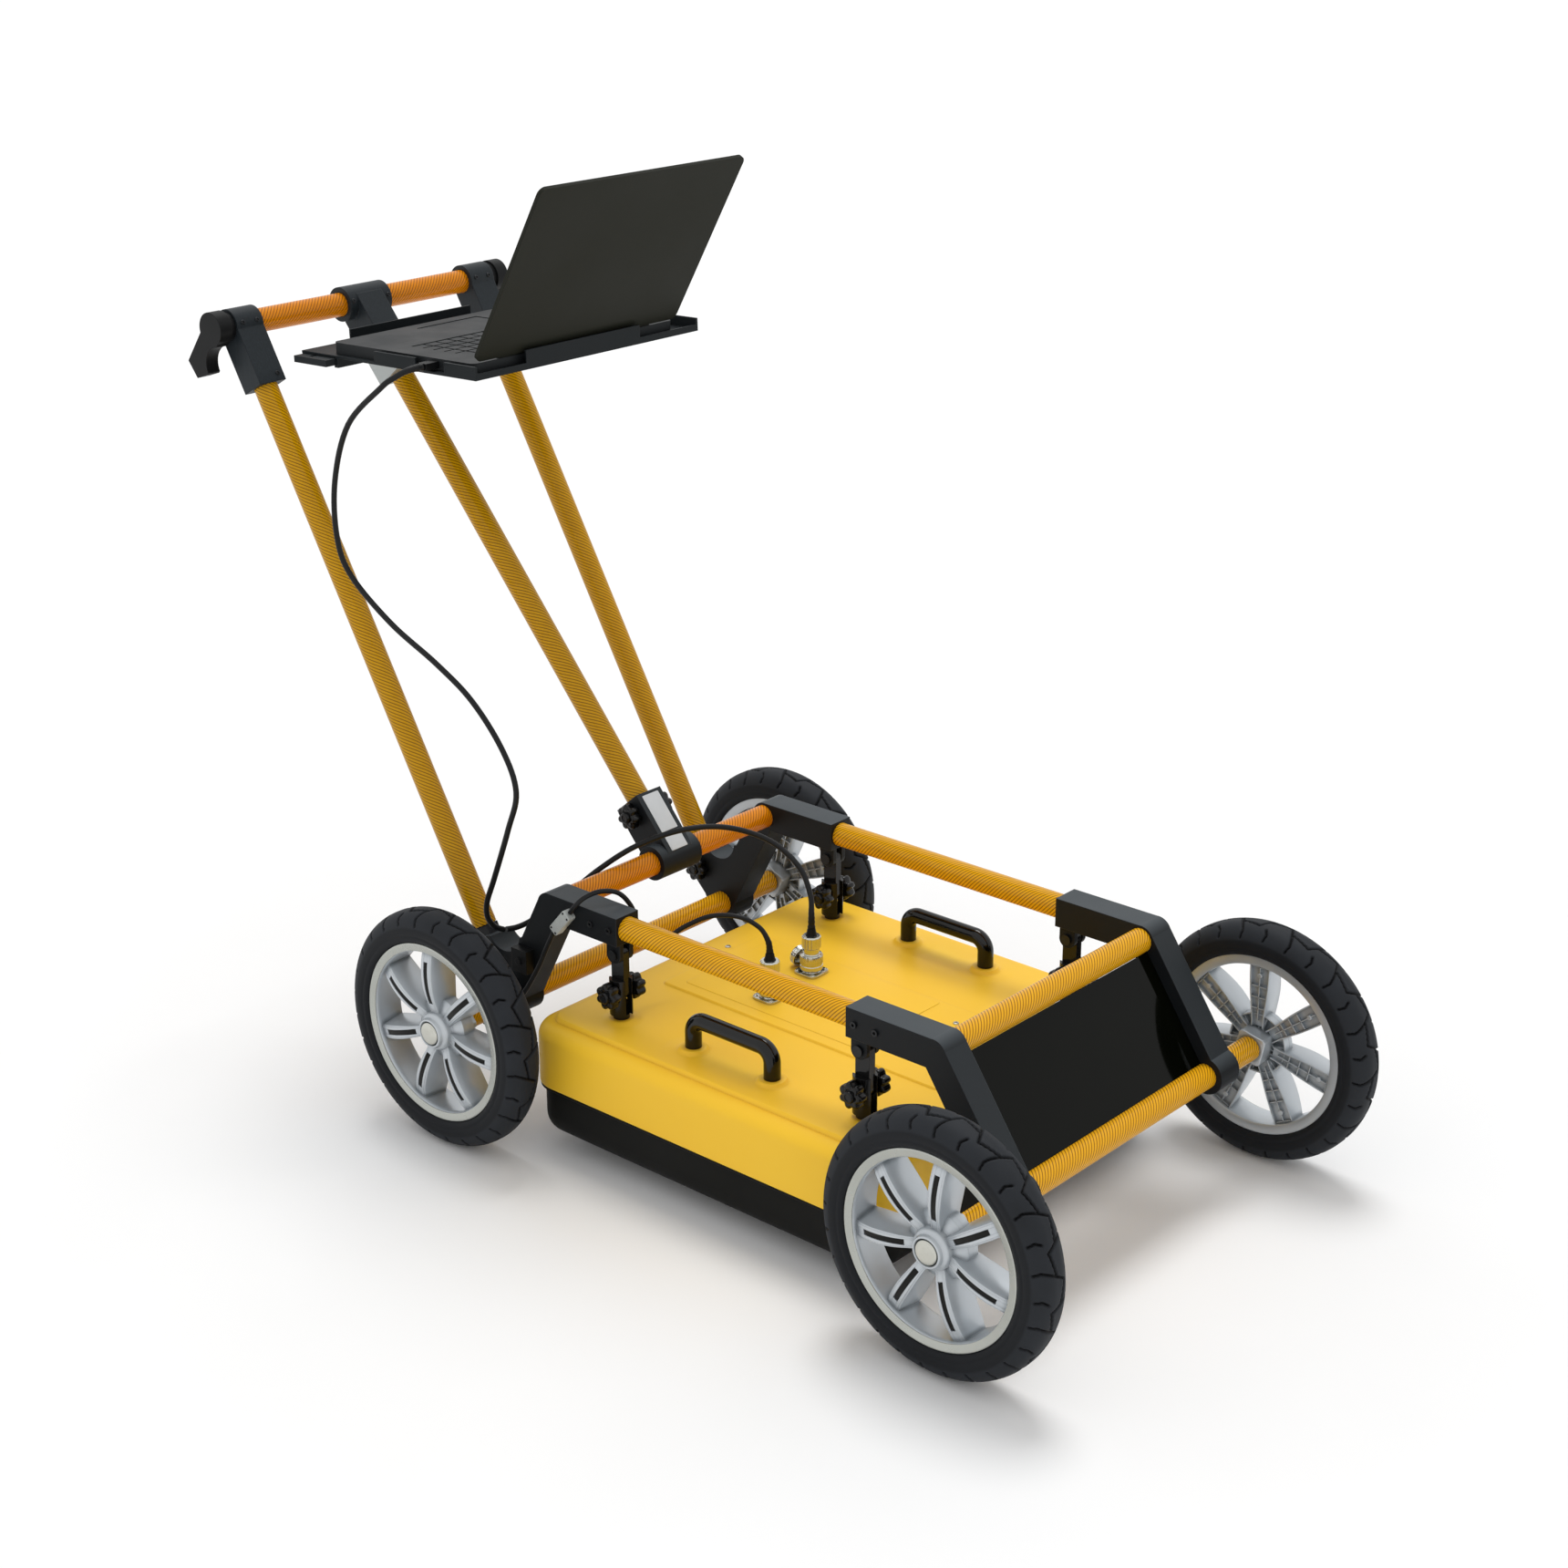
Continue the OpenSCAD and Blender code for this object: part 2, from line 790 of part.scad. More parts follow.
// Bores that every bracket has: rail, upper tube, axle tube, hanger and screws
module bracket_bores(side, top, arm_end, axle, hanger_x, screws) {
    y = side * bracket_y;
    translate([arm_end.x, y, rail_z])
        rotate([0, arm_end.x > top.x ? -90 : 90, 0])
            translate([0, 0, -overrun])
                cylinder(h = rail_seat + overrun, r = tube_bore_r);
    across(
        top, side * (bracket_inner_y - overrun), side * (bracket_inner_y + cross_seat), tube_bore_r
    );
    across(axle, y - bracket_w, y + bracket_w, tube_bore_r);
    clevis_gap(hanger_x, y);
    for (place = screws)
        across(
            place, side * (bracket_outer_y - screw_shank_len), side * (bracket_outer_y + overrun),
            screw_shank_d / 2 + seat_clear
        );
}

module bracket_outline(top, arm_end, axle) {
    bar2d(top, arm_end, arm_h);
    round_end2d(top, arm_h);
    bar2d(top, axle, bracket_leg_w);
    disc2d(axle, axle_boss_d / 2);
}

module lug_outline() {
    difference() {
        union() {
            bar2d(rear_axle, pivot, lug_d);
            round_end2d(pivot, lug_d);
            polygon([
                rear_axle, pivot, pivot + [0, lug_rise],
                rear_top + notch_leg_share * (rear_axle - rear_top)
            ]);
        }
        disc2d(notch_at, notch_r);
    }
}

// Room for the hinge tongue over its whole travel
module tongue_room() {
    round_end2d(pivot, tongue_depth + 2 * slot_play);
    bar2d(pivot, pivot + slot_reach * leg_dir, tongue_depth + 2 * slot_play);
    bar2d(pivot, pivot + slot_reach * leaned_dir, tongue_depth + 2 * slot_play);
}

module rear_brackets() {
    color(anodised_black)
        for (side = sides)
            difference() {
                union() {
                    in_plane(side * bracket_y, bracket_w) {
                        bracket_outline(rear_top, rear_arm_end, rear_axle);
                        lug_outline();
                    }
                    in_plane(side * bracket_y, link_t + 2 * side_clear + 2 * clevis_cheek)
                        clevis_outline(hanger_xs[0]);
                }
                bracket_bores(side, rear_top, rear_arm_end, rear_axle, hanger_xs[0], rear_screws);
                in_plane(side * bracket_y, tongue_w + 2 * side_clear)
                    tongue_room();
                across(
                    pivot, side * (bracket_inner_y - overrun), side * (bracket_outer_y + overrun),
                    pivot_bolt_d / 2 + running_clear
                );
            }
}

module front_brackets() {
    color(anodised_black)
        for (side = sides)
            difference() {
                union() {
                    in_plane(side * bracket_y, bracket_w)
                        bracket_outline(front_top, front_arm_end, front_axle);
                    in_plane(side * bracket_y, link_t + 2 * side_clear + 2 * clevis_cheek)
                        clevis_outline(hanger_xs[1]);
                }
                bracket_bores(
                    side, front_top, front_arm_end, front_axle, hanger_xs[1], front_screws
                );
            }
}

module side_rails() {
    rail_start = rear_arm_end.x - rail_seat + side_clear;
    rail_end = front_arm_end.x + rail_seat - side_clear;
    color(aramid_gold)
        for (side = sides)
            translate([rail_start, side * bracket_y, rail_z])
                rotate([0, 90, 0])
                    pipe(rail_end - rail_start, tube_r, tube_wall);
}

module cross_tube(top) {
    end_y = bracket_inner_y + cross_seat - side_clear;
    color(aramid_gold)
        pipe_across(top, -end_y, end_y);
}

module front_panel() {
    dir = (front_axle - front_top) / norm(front_axle - front_top);
    color(panel_black)
        in_plane(0, 2 * (bracket_inner_y - side_clear))
            bar2d(
                front_top + (tube_r + side_clear) * dir, front_axle - (tube_r + side_clear) * dir,
                panel_t
            );
}

module socket_screw() {
    difference() {
        cylinder(h = screw_head_h, d = screw_head_d);
        cylinder(h = screw_head_h + overrun, d = screw_socket_d, $fn = 6);
    }
    translate([0, 0, -screw_shank_len + side_clear])
        cylinder(h = screw_shank_len - side_clear, d = screw_shank_d);
}

// Something on the outer face of a bracket, its local +Z pointing out of the cart
module on_outer_face(place, side) {
    translate([place.x, side * bracket_outer_y, place.y])
        rotate([-90 * side, 0, 0])
            children();
}

module frame_screws() {
    pin_len = link_t + 2 * side_clear + 2 * clevis_cheek;
    color(steel) {
        for (side = sides, place = concat(rear_screws, front_screws))
            if (side == left || place != clamp_at)
                on_outer_face(place, side)
                    socket_screw();
        for (side = sides, x = hanger_xs)
            translate([x, side * bracket_y, hanger_pin_z])
                rotate([90, 0, 0]) {
                    cylinder(h = pin_len, d = hanger_pin_d, center = true);
                    for (s = sides)
                        translate([0, 0, s * (pin_len + pin_head_h) / 2])
                            cylinder(h = pin_head_h, d = pin_head_d, center = true);
                }
        for (side = sides)
            translate([pivot.x, side * bracket_y + bracket_w / 2, pivot.y])
                rotate([-90, 0, 0])
                    difference() {
                        cylinder(h = axle_nut_h, d = axle_nut_d, $fn = 6);
                        translate([0, 0, -overrun])
                            cylinder(
                                h = axle_nut_h + 2 * overrun, r = pivot_bolt_d / 2 + running_clear
                            );
                    }
    }
}

module hanger_links() {
    color(anodised_black)
        for (side = sides, x = hanger_xs)
            difference() {
                in_plane(side * bracket_y, link_t) {
                    bar2d([x, hanger_pin_z], [x, knob_bolt_z], link_w);
                    round_end2d([x, hanger_pin_z], link_w);
                    round_end2d([x, knob_bolt_z], link_w);
                }
                across(
                    [x, hanger_pin_z], side * bracket_y - link_t, side * bracket_y + link_t,
                    hanger_pin_d / 2 + seat_clear
                );
                across(
                    [x, knob_bolt_z], side * bracket_y - link_t, side * bracket_y + link_t,
                    knob_bolt_d / 2 + running_clear
                );
            }
}

// Star knobs

module star_knob() {
    lobe_at = knob_d / 2 - knob_lobe_r;
    linear_extrude(knob_t) {
        circle(lobe_at);
        for (i = [0:knob_lobes - 1])
            rotate(i * 360 / knob_lobes)
                translate([lobe_at, 0])
                    circle(knob_lobe_r);
    }
    translate([0, 0, knob_t])
        cylinder(h = knob_boss_h, d = knob_boss_d);
}

// Two knobs on the bolt that clamps a hanger's link in its sleeve
module height_knobs(end, side) {
    x = hanger_xs[end == front ? 1 : 0];
    knob_from = sleeve_d / 2 + knob_gap;
    translate([x, side * bracket_y, knob_bolt_z])
        rotate([90, 0, 0]) {
            color(steel)
                cylinder(h = 2 * knob_from + knob_t, d = knob_bolt_d, center = true);
            color(plastic_black)
                for (turn = [0, 180])
                    rotate([turn, 0, 0])
                        translate([0, 0, knob_from])
                            star_knob();
        }
}

// The knob and bolt of a handle pivot: the knob lies on the right side of each lug
module pivot_knob(side) {
    translate([pivot.x, side * bracket_y - bracket_w / 2 - knob_gap, pivot.y])
        rotate([90, 0, 0]) {
            color(plastic_black)
                star_knob();
            color(steel)
                translate([0, 0, -knob_gap - bracket_w - axle_nut_h])
                    cylinder(h = knob_gap + bracket_w + axle_nut_h + overrun, d = pivot_bolt_d);
        }
}

// Cable fittings at the right rear bracket

module wheel_encoder() {
    color(plastic_black)
        difference() {
            union() {
                on_outer_face(rear_axle, right)
                    cylinder(h = encoder_w, d = encoder_d);
                on_outer_face(rear_axle, right)
                    translate([0, 0, encoder_w / 2])
                        rotate([0, 90, encoder_exit_angle])
                            cylinder(h = encoder_d / 2 + encoder_exit_len, d = encoder_exit_d);
            }
            across(
                rear_axle, -bracket_outer_y + overrun, -bracket_outer_y - encoder_w - overrun,
                tube_bore_r
            );
        }
}

module junction_box() {
    color(nickel)
        translate([box_at.x, -bracket_outer_y - box_size.y / 2, box_at.y])
            rotate([0, box_angle, 0])
                cube(box_size, center = true);
}

module cable_clamp() {
    on_outer_face(clamp_at, right) {
        color(plastic_black)
            translate([0, 0, clamp_size.z / 2])
                cube(clamp_size, center = true);
        color(steel) {
            translate([0, 0, clamp_size.z])
                cylinder(h = clamp_screw_h, d = clamp_screw_d);
            translate([0, 0, -screw_shank_len + side_clear])
                cylinder(h = screw_shank_len, d = screw_shank_d);
        }
    }
}

// Handle

// Along a handle leg: local +Z runs up the leg from a distance above the pivot
module on_leg(side, s) {
    p = pivot + s * leg_dir;
    translate([p.x, side * bracket_y, p.y])
        rotate([0, -handle_lean, 0])
            children();
}

module handle_legs() {
    top_at = handle_len - end_bracket_len + tube_in_end;
    color(aramid_gold)
        for (side = sides)
            on_leg(side, tongue_end)
                pipe(top_at - tongue_end, tube_r, tube_wall);
}

module leg_hinge_ends() {
    color(anodised_black)
        for (side = sides)
            difference() {
                union() {
                    in_plane(side * bracket_y, tongue_w) {
                        round_end2d(pivot, tongue_depth);
                        bar2d(pivot, pivot + (tongue_end - side_clear) * leg_dir, tongue_depth);
                    }
                    on_leg(side, tongue_end - overrun)
                        cylinder(h = plug_len + overrun, r = tube_r - tube_wall - seat_clear);
                }
                across(
                    pivot, side * bracket_y - bracket_w, side * bracket_y + bracket_w,
                    pivot_bolt_d / 2 + running_clear
                );
            }
}

module handlebar() {
    end_y = bracket_y + end_bracket_w / 2;
    color(aramid_gold)
        pipe_across(bar, -end_y, end_y);
}

module handle_end_brackets() {
    color(anodised_black)
        for (side = sides)
            difference() {
                in_plane(side * bracket_y, end_bracket_w) {
                    bar2d(bar - end_bracket_len * leg_dir, bar, end_bracket_depth);
                    disc2d(bar, end_bracket_head_d / 2);
                }
                on_leg(side, handle_len - end_bracket_len - overrun)
                    cylinder(h = tube_in_end + side_clear + overrun, r = tube_bore_r);
                across(
                    bar, side * bracket_y - end_bracket_w, side * bracket_y + end_bracket_w,
                    tube_bore_r
                );
            }
}

// The hooked ends outside the handle's brackets
module bar_ends() {
    collar_y = bracket_y + end_bracket_w / 2 + bar_end_collar_w / 2;
    hook_y = bracket_y + end_bracket_w / 2 + bar_end_collar_w + bar_end_w / 2;
    spigot_y = bracket_y + end_bracket_w / 2;
    color(plastic_black)
        for (side = sides) {
            in_plane(side * collar_y, bar_end_collar_w)
                disc2d(bar, bar_end_collar_d / 2);
            in_plane(side * hook_y, bar_end_w) {
                disc2d(bar, bar_end_head_d / 2);
                difference() {
                    translate(bar)
                        polygon([
                            [0, bar_end_head_d / 2 - end_proud], lever_back, lever_tip,
                            lever_inner, lever_root
                        ]);
                    disc2d(bar + lever_hollow, lever_hollow_r);
                }
            }
            across(
                bar, side * (spigot_y - bar_end_spigot_len), side * spigot_y,
                tube_r - tube_wall - seat_clear
            );
        }
}

// Strut

// Along the strut: local +Z runs up it from a distance above the rear upper tube
module on_strut(s) {
    p = rear_top + s * strut_dir;
    translate([p.x, 0, p.y])
        rotate([0, -strut_angle, 0])
            children();
}

module strut_block(from, to) {
    on_strut(from)
        translate([-strut_block_depth / 2, -strut_block_w / 2, 0])
            cube([strut_block_depth, strut_block_w, to - from]);
}

module strut_tube() {
    color(aramid_gold)
        on_strut(strut_end_gap)
            pipe(strut_len - strut_start - strut_end_gap, tube_r, tube_wall);
}

module strut_top_clamp() {
    color(anodised_black)
        difference() {
            union() {
                across(bar, -top_collar_w / 2, top_collar_w / 2, collar_d / 2);
                strut_block(strut_len - top_block_len, strut_len);
            }
            across(bar, -top_collar_w, top_collar_w, tube_r + running_clear);
            on_strut(strut_len - top_block_len - overrun)
                cylinder(h = top_block_len + overrun - strut_start + side_clear, r = tube_bore_r);
        }
}

module strut_socket() {
    color(anodised_black)
        difference() {
            union() {
                across(rear_top, -socket_collar_w / 2, socket_collar_w / 2, collar_d / 2);
                strut_block(0, socket_len);
            }
            across(rear_top, -socket_collar_w, socket_collar_w, tube_r + running_clear);
            on_strut(tube_r)
                cylinder(h = socket_len, r = tube_r + strut_clear);
            across(
                rear_top + knob_seat * strut_dir, -strut_block_w, strut_block_w,
                stud_d / 2 + running_clear
            );
        }
}

module strut_knobs() {
    seat = rear_top + knob_seat * strut_dir;
    stud_len = strut_block_w / 2 + knob_gap - tube_r - strut_clear;
    translate([seat.x, 0, seat.y])
        for (turn = [90, -90])
            rotate([turn, 0, 0])
                translate([0, 0, strut_block_w / 2 + knob_gap]) {
                    color(plastic_black)
                        star_knob();
                    color(steel)
                        translate([0, 0, -stud_len])
                            cylinder(h = stud_len + overrun, d = stud_d);
                }
}

// Tray and laptop

module on_tray() {
    translate([tray_x, 0, tray_z])
        rotate([0, -tray_tilt, 0])
            children();
}

module tray_bracket() {
    block_from = strut_len - tray_block_drop - tray_block_len / 2;
    block_mid = bar - tray_block_drop * strut_dir;
    block_front = block_mid + (strut_block_depth / 2 - overrun) * [strut_dir.y, -strut_dir.x];
    plate_z = tray_z - tray_t - riser_plate.z;
    color(tray_grey)
        difference() {
            union() {
                strut_block(block_from, block_from + tray_block_len);
                in_plane(0, riser_w)
                    polygon([
                        block_mid, block_front - riser_foot_share * tray_block_len * strut_dir,
                        [tray_x + riser_plate_x + riser_plate.x / 2, plate_z],
                        [tray_x + riser_plate_x - riser_plate.x / 2, plate_z]
                    ]);
                on_tray()
                    translate([
                        riser_plate_x - riser_plate.x / 2, -riser_plate.y / 2,
                        -tray_t - riser_plate.z
                    ])
                        cube(riser_plate);
            }
            on_strut(block_from - overrun)
                cylinder(h = tray_block_len + 2 * overrun, r = tube_bore_r);
        }
}

module tray_lips() {
    translate([tray_front - lip_t, tray_right, -tray_t])
        cube([lip_t, tray_w, tray_t + lip_h]);
    translate([tray_front - lip_t, -lip_mid_w / 2, -tray_t])
        cube([lip_t, lip_mid_w, tray_t + lip_mid_h]);
    translate([tray_rear, -rear_lip_w / 2, -tray_t])
        cube([lip_t, rear_lip_w, tray_t + rear_lip_h]);
    for (span = side_lip_spans)
        translate([span[0], tray_right, -tray_t])
            cube([span[1] - span[0], lip_t, tray_t + side_lip_h]);
    translate([front_lip_from, tray_left - lip_t, -tray_t])
        cube([tray_front - front_lip_from, lip_t, tray_t + side_lip_h]);
}

// One of the two runners under the tray; its foot points to +X
module runner() {
    drop = shelf_t + 2 * side_clear + runner_t;
    translate([-runner_t, tray_right, -tray_t - drop])
        cube([runner_t, shelf_w - shelf_out, drop]);
    translate([-runner_t, tray_right, -tray_t - drop])
        cube([runner_t + runner_foot, shelf_w - shelf_out, runner_t]);
}

module tray() {
    color(tray_grey)
        on_tray() {
            translate([tray_rear, tray_right, -tray_t])
                cube([tray_l, tray_w, tray_t]);
            tray_lips();
            translate([shelf_rear - side_clear, 0, 0])
                runner();
            translate([shelf_rear + shelf_l + side_clear, 0, 0])
                mirror([1, 0, 0])
                    runner();
        }
}

module side_shelf() {
    color(tray_grey)
        on_tray()
            translate([shelf_rear, tray_right - shelf_out, -tray_t - side_clear - shelf_t])
                difference() {
                    cube([shelf_l, shelf_w, shelf_t]);
                    translate([shelf_slot_ahead, shelf_slot_in, -overrun])
                        cube([shelf_slot.x, shelf_slot.y, shelf_t + 2 * overrun]);
                }
}

module laptop_keys() {
    for (row = [0:key_rows - 1], column = [0:key_columns - 1])
        translate([
            key_well_x + (row - (key_rows - 1) / 2) * key_pitch - key_size / 2,
            (column - (key_columns - 1) / 2) * key_pitch - key_size / 2,
            laptop_base_t - key_well_depth - overrun
        ])
            cube([key_size, key_size, key_h + overrun]);
}

module laptop_base() {
    well_l = key_rows * key_pitch;
    well_w = key_columns * key_pitch;
    color(laptop_grey)
        on_tray() {
            difference() {
                linear_extrude(laptop_base_t)
                    rounded_rect(laptop_l, laptop_w, laptop_corner_r);
                translate([
                    key_well_x - well_l / 2, -well_w / 2, laptop_base_t - key_well_depth
                ])
                    cube([well_l, well_w, key_well_depth + overrun]);
                translate([
                    touchpad_x - touchpad.x / 2, -touchpad.y / 2, laptop_base_t - touchpad_depth
                ])
                    cube([touchpad.x, touchpad.y, touchpad_depth + overrun]);
                for (side = sides)
                    translate([hinge_x, side * hinge_barrel_y, hinge_z])
                        rotate([90, 0, 0])
                            cylinder(
                                h = hinge_barrel_w + 2 * hinge_play,
                                r = hinge_barrel_d / 2 + hinge_play, center = true
                            );
            }
            laptop_keys();
        }
}

// In the lid's own frame: local +X runs up the lid from its hinge, +Z is the screen's side
module on_lid() {
    on_tray()
        translate([hinge_x, 0, hinge_z])
            rotate([0, -lid_angle, 0])
                children();
}

module laptop_lid() {
    screen_l = laptop_lid_l - lid_gap - 2 * screen_margin;
    screen_w = laptop_w - 2 * screen_margin;
    color(laptop_olive)
        on_lid() {
            difference() {
                translate([(laptop_lid_l + lid_gap) / 2, 0, -laptop_lid_t])
                    linear_extrude(laptop_lid_t)
                        rounded_rect(laptop_lid_l - lid_gap, laptop_w, laptop_corner_r);
                translate([lid_gap + screen_margin, -screen_w / 2, -screen_depth])
                    cube([screen_l, screen_w, screen_depth + overrun]);
            }
            for (side = sides)
                translate([0, side * hinge_barrel_y, 0]) {
                    rotate([90, 0, 0])
                        cylinder(h = hinge_barrel_w, d = hinge_barrel_d, center = true);
                    translate([0, -hinge_barrel_w / 2, -hinge_tab_t])
                        cube([lid_gap + hinge_tab_lap, hinge_barrel_w, hinge_tab_t]);
                }
        }
}

module laptop_screen() {
    inset = screen_margin + seat_clear;
    color(panel_black)
        on_lid()
            translate([lid_gap + inset, -laptop_w / 2 + inset, -screen_depth])
                cube([laptop_lid_l - lid_gap - 2 * inset, laptop_w - 2 * inset, screen_t]);
}

module laptop_plug() {
    color(plastic_black)
        on_tray()
            translate([
                laptop_plug_x - laptop_plug_size.x / 2, -laptop_w / 2 - laptop_plug_size.y,
                laptop_plug_z - laptop_plug_size.z / 2
            ])
                cube(laptop_plug_size);
}

// Antenna

module antenna_cover() {
    roof = cover_h - plateau_h - cover_roof;
    wall_bottom = cover_bottom + seam_gap;
    color(cover_yellow)
        translate([antenna_x, 0, 0])
            difference() {
                union() {
                    translate([0, 0, wall_bottom])
                        rounded_slab(
                            antenna_l, antenna_w, cover_h - plateau_h - seam_gap, plan_r, cover_edge_r
                        );
                    translate([0, 0, cover_top - plateau_h - cover_roof])
                        rounded_slab(
                            antenna_l - 2 * plateau_inset, antenna_w - 2 * plateau_inset,
                            plateau_h + cover_roof, plan_r - plateau_inset, plateau_edge_r
                        );
                    translate([0, 0, cover_top - cover_roof])
                        rounded_slab(
                            band_l, band_w, band_h + cover_roof, plan_r - plateau_inset, band_edge_r
                        );
                    for (side = sides, s = sides)
                        translate([s * pull_span / 2, side * pull_gap / 2, cover_top - overrun])
                            cylinder(h = boss_h + overrun, d = boss_d);
                }
                translate([0, 0, cover_bottom - overrun])
                    rounded_slab(
                        antenna_l - 2 * housing_wall, antenna_w - 2 * housing_wall,
                        roof + overrun, plan_r - housing_wall, cover_edge_r - housing_wall
                    );
            }
}

module antenna_base() {
    l = antenna_l - 2 * base_inset;
    w = antenna_w - 2 * base_inset;
    r = plan_r - base_inset;
    color(plastic_black)
        translate([antenna_x, 0, base_bottom]) {
            difference() {
                union() {
                    translate([0, 0, base_h])
                        mirror([0, 0, 1])
                            rounded_slab(l, w, base_h, r, base_edge_r);
                    translate([0, 0, base_h - ledge_h])
                        linear_extrude(ledge_h)
                            rounded_rect(
                                antenna_l - 2 * ledge_inset, antenna_w - 2 * ledge_inset,
                                plan_r - ledge_inset
                            );
                }
                translate([0, 0, base_h + overrun])
                    mirror([0, 0, 1])
                        rounded_slab(
                            l - 2 * housing_wall, w - 2 * housing_wall,
                            base_h + overrun - base_floor, r - housing_wall,
                            base_edge_r - housing_wall
                        );
            }
            for (sx = sides, sy = sides)
                translate([
                    sx * (board_l / 2 - board_post_inset), sy * (board_w / 2 - board_post_inset),
                    base_floor - overrun
                ])
                    cylinder(h = board_post_h + overrun, d = board_post_d);
        }
}

module pull_handle() {
    leg_h = pull_h - pull_d / 2 - pull_bend_r;
    for (turn = [0, 180])
        rotate(turn) {
            translate([pull_span / 2, 0, 0])
                cylinder(h = leg_h, d = pull_d);
            translate([pull_span / 2 - pull_bend_r, 0, leg_h])
                rotate([90, 0, 0])
                    rotate_extrude(angle = 90)
                        translate([pull_bend_r, 0])
                            circle(d = pull_d);
        }
    translate([0, 0, leg_h + pull_bend_r])
        rotate([0, 90, 0])
            cylinder(h = pull_span - 2 * pull_bend_r, d = pull_d, center = true);
}

module antenna_handles() {
    color(plastic_black)
        for (side = sides)
            translate([antenna_x, side * pull_gap / 2, cover_top + boss_h])
                pull_handle();
}

// A sleeve that stands on the antenna and holds a hanger link between its slotted cheeks
module hanger_sleeve() {
    fork_from = cover_top + sleeve_neck_h;
    slot_low = knob_bolt_z - raise_travel;
    slot_high = knob_bolt_z + lower_travel;
    slot_r = knob_bolt_d / 2 + side_clear;
    difference() {
        union() {
            translate([0, 0, cover_top])
                cylinder(h = sleeve_neck_h, d = sleeve_neck_d);
            translate([0, 0, fork_from])
                cylinder(h = sleeve_top_z - fork_from, d = sleeve_d);
        }
        translate([-sleeve_d, -link_t / 2 - side_clear, fork_from])
            cube([2 * sleeve_d, link_t + 2 * side_clear, sleeve_top_z - fork_from + overrun]);
        in_plane(0, 2 * sleeve_d) {
            bar2d([0, slot_low], [0, slot_high], 2 * slot_r);
            round_end2d([0, slot_low], 2 * slot_r);
            round_end2d([0, slot_high], 2 * slot_r);
        }
    }
}

module hanger_sleeves() {
    color(anodised_black)
        for (side = sides, x = hanger_xs)
            translate([x, side * bracket_y, 0])
                hanger_sleeve();
}

module at_sockets() {
    for (place = socket_places)
        translate([place.x, place.y, cover_top + band_h])
            children();
}

module connector_sockets() {
    color(nickel)
        at_sockets() {
            linear_extrude(socket_flange_t)
                rounded_rect(socket_flange_w, socket_flange_w, socket_flange_r);
            cylinder(h = socket_flange_t + socket_barrel_h, d = socket_barrel_d);
        }
}

module antenna_plugs() {
    ring_z = socket_flange_t + plug_ring_gap;
    color(nickel)
        at_sockets()
            difference() {
                union() {
                    translate([0, 0, ring_z])
                        cylinder(h = plug_ring_h, d = plug_ring_d);
                    translate([0, 0, ring_z + plug_ring_h])
                        cylinder(h = plug_shell_h, d = plug_shell_d);
                    translate([0, 0, ring_z + plug_ring_h + plug_shell_h - plug_nut_h])
                        cylinder(h = plug_nut_h, d = plug_nut_d, $fn = 6);
                    translate([0, 0, ring_z + plug_ring_h + plug_shell_h])
                        cylinder(h = plug_sleeve_h, d = plug_sleeve_d);
                }
                translate([0, 0, -overrun])
                    cylinder(
                        h = socket_flange_t + socket_barrel_h + side_clear + overrun,
                        r = socket_barrel_d / 2 + running_clear
                    );
            }
}

module radar_board() {
    color(board_green)
        translate([antenna_x, 0, base_bottom + base_floor + board_post_h]) {
            translate([-board_l / 2, -board_w / 2, 0])
                cube([board_l, board_w, board_t]);
            for (s = sides)
                translate([s * chip_share * board_l - board_chip.x / 2, -board_chip.y / 2, board_t])
                    cube(board_chip);
        }
}

// Two bow-ties of copper, one to send and one to receive, on the floor of the base
module bowtie_plates() {
    color(copper)
        translate([antenna_x, 0, base_bottom + base_floor])
            for (sx = sides, sy = sides)
                translate([0, sy * bowtie_off, 0])
                    linear_extrude(bowtie_t)
                        polygon([
                            [sx * bowtie_gap / 2, 0],
                            [sx * bowtie_l, bowtie_w / 2], [sx * bowtie_l, -bowtie_w / 2]
                        ]);
}

// Cables: a tube swept along a smooth curve through its route's points

function unit(v) = v / norm(v);
function on_curve(a, b, c, d, t) =
    b + t / 2 * ((c - a) + t * ((2 * a - 5 * b + 4 * c - d) + t * (3 * (b - c) + d - a)));
function curve(route) = let (last = len(route) - 1) [
    for (i = [0:last - 1], k = [0:rings_per_span - 1])
        on_curve(
            route[max(i - 1, 0)], route[i], route[i + 1], route[min(i + 2, last)],
            k / rings_per_span
        ),
    route[last]
];
function heading(points, i) = let (last = len(points) - 1)
    unit(points[min(i + 1, last)] - points[max(i - 1, 0)]);
// A direction square to each heading, carried along the curve without twist
function carried(headings, i, before) = i == len(headings) ? [] :
    let (normal = unit(before - (before * headings[i]) * headings[i]))
    concat([normal], carried(headings, i + 1, normal));

module cable(route, d) {
    points = curve(route);
    headings = [for (i = [0:len(points) - 1]) heading(points, i)];
    normals = carried(headings, 0, unit(first_normal));
    skin = [
        for (i = [0:len(points) - 1], k = [0:cable_sides - 1])
            let (angle = k * 360 / cable_sides, other = cross(headings[i], normals[i]))
            points[i] + d / 2 * (cos(angle) * normals[i] + sin(angle) * other)
    ];
    last = (len(points) - 1) * cable_sides;
    walls = [
        for (i = [0:len(points) - 2], k = [0:cable_sides - 1])
            let (
                a = i * cable_sides + k, b = i * cable_sides + (k + 1) % cable_sides,
                c = b + cable_sides, e = a + cable_sides
            )
            each [[a, c, b], [a, e, c]]
    ];
    caps = [
        for (k = [1:cable_sides - 2])
            each [[0, k, k + 1], [last, last + k + 1, last + k]]
    ];
    color(cable_black)
        polyhedron(skin, concat(walls, caps));
}

